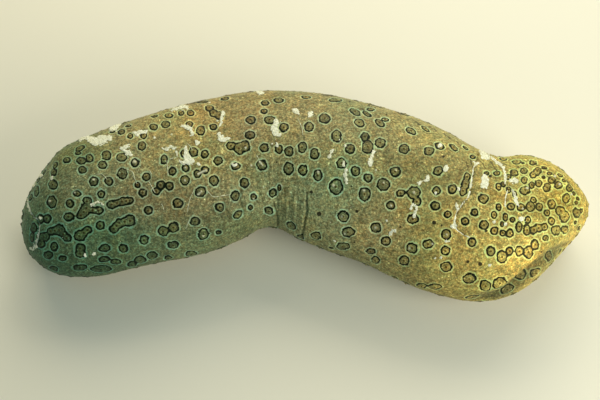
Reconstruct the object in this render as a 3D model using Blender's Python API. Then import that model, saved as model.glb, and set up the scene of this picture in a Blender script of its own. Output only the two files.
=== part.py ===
"""Leopard sea cucumber, life size, lying on its flat sole with the body bent in plan.

Metres, +Z up. +X is towards the head end, +Y towards the convex side of the bend,
and the sole lies at z = 0. The body is one loft along a curved axis, parted by thin
plane cuts into the lengths that a person would name. The mouth is a shallow round
recess in the sole under the head end, with the drawn-in tentacle crown inside it.
"""

import math

import bmesh
import bpy
import numpy as np

for old in list(bpy.data.objects):
    bpy.data.objects.remove(old, do_unlink=True)

MM = 0.001

# ---- driving sizes of the body ------------------------------------------------------
# Each station: where the axis passes (x, y, on the layout), the half-width on the
# convex (far) side and on the concave (near) side, and the height of the back, all in
# millimetres.
STATIONS = [
    # name             x     y   far near height
    ("tail tip",       -177,  -11,  44,  41,  52),
    ("tail",           -152,   -9,  43,  44,  60),
    ("rear third",     -120,    1,  46,  48,  67),
    ("rear trunk",      -88,   10,  50,  50,  70),
    ("rear bend",       -55,   19,  52,  48,  71),
    ("middle",          -23,   26,  52,  41,  71),
    ("front bend",        8,   24,  52,  49,  71),
    ("front trunk",      38,   15,  52,  52,  71),
    ("fore third",       66,    4,  51,  53,  70),
    ("shoulder",         96,  -11,  47,  53,  68),
    ("neck crease",     124,  -18,  47,  46,  64),
    ("head",            152,  -12,  45,  27,  60),
    ("head tip",        182,   -1,  43,  20,  56),
]
WAIST = 0.43            # height of the widest line, as a share of the height
SOLE = 0.58             # half-width of the flat sole, as a share of the half-width
BACK_POWER = 2.15       # fullness of the domed back
FLANK_POWER = 2.3       # fullness of the flank that turns under
TAIL_ROUND = 44 * MM    # length over which each end closes
HEAD_ROUND = 32 * MM
ROUND_POWER = 2.1       # fullness of the rounded ends
UNDER_SHARE = 0.62      # the underside closes later than the back
PLAN_CENTRE = (3.08 * MM, 6.16 * MM)  # middle of the plan outline, which is the origin

# ---- how it is parted ---------------------------------------------------------------
GAP = 0.3 * MM
CUTS = {                # x of the axis at each cut, on the layout
    "tail": -118 * MM,
    "rear": -46 * MM,
    "front": 32 * MM,
    "neck": 111 * MM,
}
RING_STEP = 7.0 * MM
OVER = 40               # steps round the back and flanks
ACROSS = 6              # steps across the sole
TURNED_UNDER = 8        # of OVER, those on each flank below the widest line
END_RINGS = 8           # rings that close each end

# ---- mouth and vent -----------------------------------------------------------------
MOUTH_X = 141 * MM      # where the mouth lies along the axis, on the layout
MOUTH_RADIUS = 11 * MM
MOUTH_DEPTH = 8 * MM
CROWN_GAP = 0.35 * MM
CROWN_LIFT = 1.6 * MM   # the drawn-in crown stays clear of the ground
TENTACLES = 20
VENT_DEPTH = 2.4 * MM


def spline(knots, values):
    """Natural cubic spline through the values at the knots."""
    n = len(knots)
    h = np.diff(knots)
    a = np.zeros((n, n))
    b = np.zeros(n)
    a[0, 0] = a[-1, -1] = 1.0
    for i in range(1, n - 1):
        a[i, i - 1 : i + 2] = h[i - 1], 2 * (h[i - 1] + h[i]), h[i]
        b[i] = 6 * ((values[i + 1] - values[i]) / h[i] - (values[i] - values[i - 1]) / h[i - 1])
    m = np.linalg.solve(a, b)

    def at(t):
        t = min(max(t, knots[0]), knots[-1])
        i = min(max(int(np.searchsorted(knots, t, side="right")) - 1, 0), n - 2)
        u, v, d = knots[i + 1] - t, t - knots[i], h[i]
        return (
            (m[i] * u**3 + m[i + 1] * v**3) / (6 * d)
            + (values[i] / d - m[i] * d / 6) * u
            + (values[i + 1] / d - m[i + 1] * d / 6) * v
        )

    return at


table = np.array([row[1:] for row in STATIONS], float) * MM
knots = np.concatenate([[0.0], np.cumsum(np.hypot(*np.diff(table[:, :2], axis=0).T))])
axis_x, axis_y, far_width, near_width, height = (spline(knots, table[:, k]) for k in range(5))
fine = np.linspace(0, knots[-1], 1501)
fine_x = np.array([axis_x(t) for t in fine])
fine_y = np.array([axis_y(t) for t in fine])
arc = np.concatenate([[0.0], np.cumsum(np.hypot(np.diff(fine_x), np.diff(fine_y)))])
LENGTH = float(arc[-1])


def arc_at_x(x):
    """Length along the axis where it passes x."""
    return float(np.interp(x, fine_x, arc))


def closing(distance, reach):
    """1 along the trunk, falling to 0 at the end of the body."""
    k = min(max(1 - distance / reach, 0.0), 1.0)
    return (1 - k**ROUND_POWER) ** (1 / ROUND_POWER)


def frame_at(s):
    """Axis point and the direction across it, towards the far side."""
    t = float(np.interp(s, arc, fine))
    a, b = max(t - 1e-4, 0.0), min(t + 1e-4, knots[-1])
    d = np.array([axis_x(b) - axis_x(a), axis_y(b) - axis_y(a)])
    d /= np.hypot(*d)
    centre = np.array([axis_x(t) - PLAN_CENTRE[0], axis_y(t) - PLAN_CENTRE[1]])
    return t, centre, d, np.array([-d[1], d[0]])


def section(s):
    """Points of the body's cross-section at length s along the axis."""
    t, centre, along, across = frame_at(s)
    g = max(closing(s, TAIL_ROUND) * closing(LENGTH - s, HEAD_ROUND), 1e-4)
    under = max(
        closing(s, TAIL_ROUND * UNDER_SHARE) * closing(LENGTH - s, HEAD_ROUND * UNDER_SHARE),
        1e-4,
    )
    top = height(t)
    waist = WAIST * top
    # left free, the lower curve would reach below the ground, which flattens it
    deep = waist / (1 - SOLE**FLANK_POWER) ** (1 / FLANK_POWER) * under
    flat = deep > waist
    edge = math.asin((waist / deep) ** (FLANK_POWER / 2)) if flat else math.pi / 2

    def lower(share):
        a = edge * share
        x = abs(math.cos(a)) ** (2 / FLANK_POWER)
        z = waist - deep * abs(math.sin(a)) ** (2 / FLANK_POWER)
        return (x, 0.0) if flat and share == 1 else (x, z)

    points = []
    for k in range(TURNED_UNDER):
        x, z = lower(1 - k / TURNED_UNDER)
        points.append((x, z))
    upper = OVER - 2 * TURNED_UNDER
    for k in range(upper + 1):
        a = math.pi * k / upper
        x = math.copysign(abs(math.cos(a)) ** (2 / BACK_POWER), math.cos(a))
        points.append((x, waist + (top - waist) * g * abs(math.sin(a)) ** (2 / BACK_POWER)))
    for k in range(TURNED_UNDER - 1, -1, -1):
        x, z = lower(1 - k / TURNED_UNDER)
        points.append((-x, z))
    last_x, last_z = points[-1]
    for k in range(1, ACROSS):
        points.append((last_x * (1 - 2 * k / ACROSS), last_z))
    far, near = far_width(t) * g, near_width(t) * g
    ring = []
    for x, z in points:
        p = centre + across * x * (far if x > 0 else near)
        ring.append((p[0], p[1], z))
    return ring


def material(name, colour, roughness):
    m = bpy.data.materials.new(name)
    m.use_nodes = True
    shader = m.node_tree.nodes["Principled BSDF"]
    shader.inputs["Base Color"].default_value = (*colour, 1.0)
    shader.inputs["Roughness"].default_value = roughness
    shader.inputs["Metallic"].default_value = 0.0
    return m


def finish(bm, name, mat):
    bmesh.ops.recalc_face_normals(bm, faces=bm.faces)
    mesh = bpy.data.meshes.new(name)
    bm.to_mesh(mesh)
    bm.free()
    ob = bpy.data.objects.new(name, mesh)
    bpy.context.collection.objects.link(ob)
    ob.data.materials.append(mat)
    mesh.shade_smooth()
    mesh.set_sharp_from_angle(angle=math.radians(35))
    return ob


def end_lengths(reach):
    """Distances from the tip, closer together where the end curves most."""
    return [reach * (1 - math.cos(math.pi / 2 * (k / END_RINGS) ** 1.15)) for k in range(1, END_RINGS + 1)]


def body_length(name, start, stop, mat):
    """One length of the body as a closed loft, from start to stop along the axis."""
    tail_tip, head_tip = start is None, stop is None
    rings = []
    low = 0.0 if tail_tip else start + GAP / 2
    high = LENGTH if head_tip else stop - GAP / 2
    if tail_tip:
        rings += end_lengths(TAIL_ROUND)
        low = rings.pop()
    tips = [LENGTH - d for d in reversed(end_lengths(HEAD_ROUND))] if head_tip else []
    if head_tip:
        high = tips.pop(0)
    steps = max(1, round((high - low) / RING_STEP))
    rings += [low + (high - low) * k / steps for k in range(steps + 1)] + tips
    bm = bmesh.new()
    loops = [[bm.verts.new(p) for p in section(s)] for s in rings]
    for a, b in zip(loops[:-1], loops[1:]):
        for i in range(len(a)):
            j = (i + 1) % len(a)
            bm.faces.new((a[i], a[j], b[j], b[i]))
    for loop, tip, s, way in ((loops[0], tail_tip, 0.0, 1), (loops[-1], head_tip, LENGTH, -1)):
        if not tip:
            bm.faces.new(loop)
            continue
        t, centre, along, across = frame_at(s)
        p = centre + along * way * (VENT_DEPTH if way > 0 else 0.0)
        pole = bm.verts.new((p[0], p[1], WAIST * height(t)))
        for i in range(len(loop)):
            bm.faces.new((loop[i], loop[(i + 1) % len(loop)], pole))
    return finish(bm, name, mat)


def turned(profile, steps, centre, name):
    """Closed turned solid from a profile of (radius, z), from the axis back to it."""
    bm = bmesh.new()
    first = bm.verts.new((centre[0], centre[1], profile[0][1]))
    last = bm.verts.new((centre[0], centre[1], profile[-1][1]))
    loops = []
    for r, z in profile[1:-1]:
        loops.append([
            bm.verts.new((
                centre[0] + r * math.cos(2 * math.pi * k / steps),
                centre[1] + r * math.sin(2 * math.pi * k / steps),
                z,
            ))
            for k in range(steps)
        ])
    for k in range(steps):
        j = (k + 1) % steps
        bm.faces.new((first, loops[0][k], loops[0][j]))
        bm.faces.new((last, loops[-1][j], loops[-1][k]))
        for a, b in zip(loops[:-1], loops[1:]):
            bm.faces.new((a[k], b[k], b[j], a[j]))
    bmesh.ops.recalc_face_normals(bm, faces=bm.faces)
    mesh = bpy.data.meshes.new(name)
    bm.to_mesh(mesh)
    bm.free()
    ob = bpy.data.objects.new(name, mesh)
    bpy.context.collection.objects.link(ob)
    return ob


def recess_height(r, radius=MOUTH_RADIUS, depth=MOUTH_DEPTH):
    """Height of the mouth recess above the sole at radius r."""
    return depth * max(0.0, 1 - (r / radius) ** 2.6) ** 0.5


# ---- the skin's colours, one material for each length --------------------------------
head_skin = material("head_skin", (0.29, 0.24, 0.10), 0.42)
front_skin = material("front_skin", (0.24, 0.20, 0.11), 0.42)
mid_skin = material("mid_skin", (0.22, 0.19, 0.12), 0.42)
rear_skin = material("rear_skin", (0.21, 0.18, 0.11), 0.42)
tail_skin = material("tail_skin", (0.17, 0.17, 0.12), 0.42)
crown_skin = material("crown_skin", (0.42, 0.36, 0.22), 0.5)

cut = {name: arc_at_x(x) for name, x in CUTS.items()}
body_length("tail_end", None, cut["tail"], tail_skin)
body_length("trunk_rear", cut["tail"], cut["rear"], rear_skin)
body_length("trunk_mid", cut["rear"], cut["front"], mid_skin)
body_length("trunk_front", cut["front"], cut["neck"], front_skin)
head = body_length("head_end", cut["neck"], None, head_skin)

# ---- the mouth: a shallow bowl cut in the middle of the sole -------------------------
mouth_t, axis_point, _, mouth_across = frame_at(arc_at_x(MOUTH_X))
mouth = axis_point + mouth_across * SOLE * (far_width(mouth_t) - near_width(mouth_t)) / 2
bowl = [(0.0, -2 * MM), (MOUTH_RADIUS, -2 * MM), (MOUTH_RADIUS, 0.0)]
bowl += [
    (MOUTH_RADIUS * math.cos(math.pi / 2 * k / 6), recess_height(MOUTH_RADIUS * math.cos(math.pi / 2 * k / 6)))
    for k in range(1, 6)
]
bowl += [(0.0, MOUTH_DEPTH)]
cutter = turned(bowl, 40, mouth, "mouth_cutter")
cutter.hide_render = True
cutter.display_type = "WIRE"
hole = head.modifiers.new("mouth", "BOOLEAN")
hole.operation = "DIFFERENCE"
hole.solver = "EXACT"
hole.object = cutter

# ---- the drawn-in crown: one relief of stubby tentacles round the mouth --------------
CROWN_RADIUS = MOUTH_RADIUS - 2.2 * MM
crown_steps = TENTACLES * 4
crown_rows = 6


def crown_underside(r, a):
    """Height of the crown's underside: two rows of rounded tips round a small pit."""
    q = r / CROWN_RADIUS
    lobes = 0.5 + 0.5 * math.cos(TENTACLES * a)
    outer = math.exp(-(((q - 0.78) / 0.16) ** 2)) * lobes
    inner = math.exp(-(((q - 0.44) / 0.14) ** 2)) * (1 - lobes)
    pit = math.exp(-((q / 0.22) ** 2))
    return CROWN_LIFT + (2.4 - 2.2 * outer - 1.9 * inner + 1.6 * pit) * MM


bm = bmesh.new()
under_pole = bm.verts.new((mouth[0], mouth[1], crown_underside(0.0, 0.0)))
upper_pole = bm.verts.new((mouth[0], mouth[1], MOUTH_DEPTH - CROWN_GAP * 1.4))
under_loops, upper_loops = [], []
for row in range(1, crown_rows + 1):
    r = CROWN_RADIUS * row / crown_rows
    under_loops.append([
        bm.verts.new((
            mouth[0] + r * math.cos(2 * math.pi * k / crown_steps),
            mouth[1] + r * math.sin(2 * math.pi * k / crown_steps),
            crown_underside(r, 2 * math.pi * k / crown_steps),
        ))
        for k in range(crown_steps)
    ])
for row in (2, 4, 5, 6):
    r = CROWN_RADIUS * row / crown_rows
    ceiling = recess_height(r + CROWN_GAP * 1.5) - CROWN_GAP * 1.8
    upper_loops.append([
        bm.verts.new((
            mouth[0] + r * math.cos(2 * math.pi * k / crown_steps),
            mouth[1] + r * math.sin(2 * math.pi * k / crown_steps),
            max(ceiling, CROWN_LIFT + 2.7 * MM),
        ))
        for k in range(crown_steps)
    ])
for k in range(crown_steps):
    j = (k + 1) % crown_steps
    bm.faces.new((under_pole, under_loops[0][j], under_loops[0][k]))
    bm.faces.new((upper_pole, upper_loops[0][k], upper_loops[0][j]))
    for loops in (under_loops, upper_loops):
        for a, b in zip(loops[:-1], loops[1:]):
            bm.faces.new((a[k], a[j], b[j], b[k]))
    bm.faces.new((under_loops[-1][k], under_loops[-1][j], upper_loops[-1][j], upper_loops[-1][k]))
finish(bm, "mouth_tentacles", crown_skin)
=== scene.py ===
import math

import bmesh
import bpy
import numpy as np
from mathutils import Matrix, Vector
from mathutils.bvhtree import BVHTree


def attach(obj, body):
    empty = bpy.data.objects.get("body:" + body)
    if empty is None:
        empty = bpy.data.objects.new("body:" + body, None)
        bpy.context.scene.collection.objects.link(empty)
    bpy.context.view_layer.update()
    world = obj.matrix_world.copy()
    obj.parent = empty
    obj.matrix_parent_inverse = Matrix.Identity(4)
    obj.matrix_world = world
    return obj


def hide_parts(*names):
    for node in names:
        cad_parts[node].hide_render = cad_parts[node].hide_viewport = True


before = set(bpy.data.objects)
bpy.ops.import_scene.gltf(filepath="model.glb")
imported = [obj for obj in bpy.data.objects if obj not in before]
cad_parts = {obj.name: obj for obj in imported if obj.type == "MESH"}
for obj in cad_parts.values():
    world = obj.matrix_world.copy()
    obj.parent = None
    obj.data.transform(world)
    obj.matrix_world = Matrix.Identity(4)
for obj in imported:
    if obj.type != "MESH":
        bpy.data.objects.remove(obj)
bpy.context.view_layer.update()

MM = 0.001
rng = np.random.default_rng(20)

# =====================================================================================
# The body's own shape: the same stations and section as the solids
# =====================================================================================
STATIONS = [
    # name             x     y   far near height
    ("tail tip",     -177,  -11,  44,  41,  52),
    ("tail",         -152,   -9,  43,  44,  60),
    ("rear third",   -120,    1,  46,  48,  67),
    ("rear trunk",    -88,   10,  50,  50,  70),
    ("rear bend",     -55,   19,  52,  48,  71),
    ("middle",        -23,   26,  52,  41,  71),
    ("front bend",      8,   24,  52,  49,  71),
    ("front trunk",    38,   15,  52,  52,  71),
    ("fore third",     66,    4,  51,  53,  70),
    ("shoulder",       96,  -11,  47,  53,  68),
    ("neck crease",   124,  -18,  47,  46,  64),
    ("head",          152,  -12,  45,  27,  60),
    ("head tip",      182,   -1,  43,  20,  56),
]
WAIST = 0.43
SOLE = 0.58
BACK_POWER = 2.15
FLANK_POWER = 2.3
TAIL_ROUND = 44 * MM
HEAD_ROUND = 32 * MM
ROUND_POWER = 2.1
UNDER_SHARE = 0.62
PLAN_CENTRE = (3.08 * MM, 6.16 * MM)
MOUTH_X = 141 * MM
MOUTH_RADIUS = 11 * MM
MOUTH_DEPTH = 8 * MM
VENT_DEPTH = 2.4 * MM
SOLE_LIFT = 0.55 * MM       # room for the tube feet under the skin
EDGE_SOFT = 1.5 * MM        # how softly the flank meets the sole


def spline(knots, values):
    n = len(knots)
    h = np.diff(knots)
    a = np.zeros((n, n))
    b = np.zeros(n)
    a[0, 0] = a[-1, -1] = 1.0
    for i in range(1, n - 1):
        a[i, i - 1 : i + 2] = h[i - 1], 2 * (h[i - 1] + h[i]), h[i]
        b[i] = 6 * ((values[i + 1] - values[i]) / h[i] - (values[i] - values[i - 1]) / h[i - 1])
    m = np.linalg.solve(a, b)

    def at(t):
        t = np.clip(t, knots[0], knots[-1])
        i = np.clip(np.searchsorted(knots, t, side="right") - 1, 0, n - 2)
        u, v, d = knots[i + 1] - t, t - knots[i], h[i]
        return (
            (m[i] * u**3 + m[i + 1] * v**3) / (6 * d)
            + (values[i] / d - m[i] * d / 6) * u
            + (values[i + 1] / d - m[i + 1] * d / 6) * v
        )

    return at


table = np.array([row[1:] for row in STATIONS], float) * MM
knots = np.concatenate([[0.0], np.cumsum(np.hypot(*np.diff(table[:, :2], axis=0).T))])
axis_x, axis_y, far_width, near_width, height = (spline(knots, table[:, k]) for k in range(5))
fine = np.linspace(0, knots[-1], 1501)
fine_x, fine_y = axis_x(fine), axis_y(fine)
arc = np.concatenate([[0.0], np.cumsum(np.hypot(np.diff(fine_x), np.diff(fine_y)))])
LENGTH = float(arc[-1])


def arc_at_x(x):
    return float(np.interp(x, fine_x, arc))


def closing(distance, reach):
    k = np.clip(1 - distance / reach, 0.0, 1.0)
    return (1 - k**ROUND_POWER) ** (1 / ROUND_POWER)


def frame_at(s):
    t = float(np.interp(s, arc, fine))
    a, b = max(t - 1e-4, 0.0), min(t + 1e-4, knots[-1])
    d = np.array([axis_x(b) - axis_x(a), axis_y(b) - axis_y(a)])
    d /= np.hypot(*d)
    centre = np.array([axis_x(t) - PLAN_CENTRE[0], axis_y(t) - PLAN_CENTRE[1]])
    return t, centre, d, np.array([-d[1], d[0]])


def section(s, count):
    """count points round the section at s, evenly spaced, from the middle of the sole up
    the near flank, over the back and down the far flank."""
    t, centre, along, across = frame_at(s)
    g = max(float(closing(s, TAIL_ROUND) * closing(LENGTH - s, HEAD_ROUND)), 1e-4)
    under = max(
        float(closing(s, TAIL_ROUND * UNDER_SHARE) * closing(LENGTH - s, HEAD_ROUND * UNDER_SHARE)), 1e-4
    )
    top = float(height(t))
    waist = WAIST * top
    deep = waist / (1 - SOLE**FLANK_POWER) ** (1 / FLANK_POWER) * under
    far, near = float(far_width(t)) * g, float(near_width(t)) * g
    a = np.linspace(-math.pi / 2, 3 * math.pi / 2, 361)
    c, n = np.cos(a), np.sin(a)
    x = np.where(
        n < 0,
        np.sign(c) * np.abs(c) ** (2 / FLANK_POWER),
        np.sign(c) * np.abs(c) ** (2 / BACK_POWER),
    )
    z = np.where(
        n < 0,
        waist - deep * np.abs(n) ** (2 / FLANK_POWER),
        waist + (top - waist) * g * np.abs(n) ** (2 / BACK_POWER),
    )
    soft = EDGE_SOFT * under
    z = np.where(n < 0, 0.5 * (z + np.sqrt(z * z + soft * soft)) + SOLE_LIFT, z)
    z = np.where(n < 0, np.minimum(z, waist), z)
    w = x * np.where(x > 0, near, far)
    step = np.hypot(np.diff(w), np.diff(z))
    run = np.concatenate([[0.0], np.cumsum(step)])
    want = np.linspace(0, run[-1], count + 1)[:-1]
    w2, z2 = np.interp(want, run, w), np.interp(want, run, z)
    p = centre - across * w2[:, None]
    return np.column_stack([p, z2]), want, run[-1]


# =====================================================================================
# Noise
# =====================================================================================
def _hash(ix, iy, iz, seed):
    h = (ix * 374761393 + iy * 668265263 + iz * 1274126177 + seed * 974634777) & 0xFFFFFFFF
    h = ((h ^ (h >> 13)) * 1274126177) & 0xFFFFFFFF
    return ((h ^ (h >> 16)) & 0xFFFFFF) / float(0xFFFFFF)


def noise(p, scale, seed=0, octaves=1):
    """Smooth value noise from -1 to 1 at the points, with features about 1 / scale long."""
    total = np.zeros(len(p))
    weight, norm = 1.0, 0.0
    for o in range(octaves):
        q = p * scale * 2**o + 37.7 * (o + 1)
        i = np.floor(q).astype(np.int64)
        f = q - i
        f = f * f * f * (f * (f * 6 - 15) + 10)
        value = np.zeros(len(p))
        for dx in (0, 1):
            for dy in (0, 1):
                for dz in (0, 1):
                    k = (
                        (f[:, 0] if dx else 1 - f[:, 0])
                        * (f[:, 1] if dy else 1 - f[:, 1])
                        * (f[:, 2] if dz else 1 - f[:, 2])
                    )
                    value += k * _hash(i[:, 0] + dx, i[:, 1] + dy, i[:, 2] + dz, seed + 11 * o)
        total += weight * (value * 2 - 1)
        norm += weight
        weight *= 0.5
    return total / norm


def smooth(lo, hi, x):
    k = np.clip((x - lo) / (hi - lo), 0, 1)
    return k * k * (3 - 2 * k)


# =====================================================================================
# Camera, which also carries the markings from the picture onto the skin
# =====================================================================================
LENS = 43.0
ELEVATION = math.radians(60.0)
DISTANCE = 0.46
TARGET = np.array([-PLAN_CENTRE[0], -PLAN_CENTRE[1], 0.030])
FORWARD = np.array([0.0, math.cos(ELEVATION), -math.sin(ELEVATION)])
RIGHT = np.array([1.0, 0.0, 0.0])
UP = np.array([0.0, math.sin(ELEVATION), math.cos(ELEVATION)])
EYE = TARGET - DISTANCE * FORWARD
PX = LENS / 36 * 600


def ray(px, py):
    d = RIGHT * (px - 300) / PX - UP * (py - 200) / PX + FORWARD
    return d / np.linalg.norm(d)


def project(p):
    d = p - EYE
    z = d @ FORWARD
    return 300 + d @ RIGHT / z * PX, 200 - d @ UP / z * PX


def pixel_jacobian(p):
    """Change of the pixel with the point, 2 by 3, in pixels per metre."""
    d = p - EYE
    z = d @ FORWARD
    return np.array([
        PX * (RIGHT / z - (d @ RIGHT) / z**2 * FORWARD),
        -PX * (UP / z - (d @ UP) / z**2 * FORWARD),
    ])


# =====================================================================================
# The skin's grid
# =====================================================================================
STEP = 0.46 * MM
ROUND = 540


def end_spacing(reach, step):
    """Lengths from the tip, closer where the end curves most."""
    n = int(reach * 1.35 / step)
    return reach * (1 - np.cos(np.linspace(0, math.pi / 2, n + 1)[1:]))


def grid(step, count):
    tail = end_spacing(TAIL_ROUND, step)
    head = end_spacing(HEAD_ROUND, step)
    middle = np.linspace(tail[-1], LENGTH - head[-1], int((LENGTH - tail[-1] - head[-1]) / step) + 1)
    s = np.concatenate([tail[:-1], middle, (LENGTH - head[:-1])[::-1]])
    rows = [section(v, count) for v in s]
    return s, np.array([r[0] for r in rows]), np.array([r[1] for r in rows]), np.array([r[2] for r in rows])


def grid_normals(p):
    du = np.gradient(p, axis=0)
    dv = (np.roll(p, -1, axis=1) - np.roll(p, 1, axis=1)) / 2
    n = np.cross(du, dv)
    n /= np.maximum(np.linalg.norm(n, axis=2, keepdims=True), 1e-12)
    return n


# a coarse copy of the smooth body, for the rays
cs, cp, _, _ = grid(2.2 * MM, 110)
cn = grid_normals(cp)
if (cn[len(cs) // 2, 55] @ np.array([0, 0, 1.0])) < 0:
    cn = -cn
ci, cj = cp.shape[:2]
coarse_faces = [
    (i * cj + j, (i + 1) * cj + j, (i + 1) * cj + (j + 1) % cj, i * cj + (j + 1) % cj)
    for i in range(ci - 1)
    for j in range(cj)
]
coarse = BVHTree.FromPolygons([Vector(v) for v in cp.reshape(-1, 3)], coarse_faces)
coarse_points, coarse_normals = cp.reshape(-1, 3), cn.reshape(-1, 3)


def on_body(px, py):
    """Where the line of sight through the pixel meets the smooth body, and its normal."""
    for k in range(40):
        hit, _, index, _ = coarse.ray_cast(Vector(EYE), Vector(ray(px, py)))
        if hit is not None:
            corners = coarse_faces[index]
            w = np.array([1 / (1e-5 + np.linalg.norm(coarse_points[c] - np.array(hit))) for c in corners])
            n = (coarse_normals[list(corners)] * w[:, None]).sum(0)
            return np.array(hit), n / np.linalg.norm(n)
        # just outside the outline: step towards the body's axis
        ax = np.interp(px, [22, 112, 215, 264, 311, 401, 452, 500, 589], [215, 200, 172, 163, 167, 195, 217, 227, 208])
        py += 0.4 if py < ax else -0.4
        if px > 575:
            px -= 0.4
        if px < 40:
            px += 0.4
    return None


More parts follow.
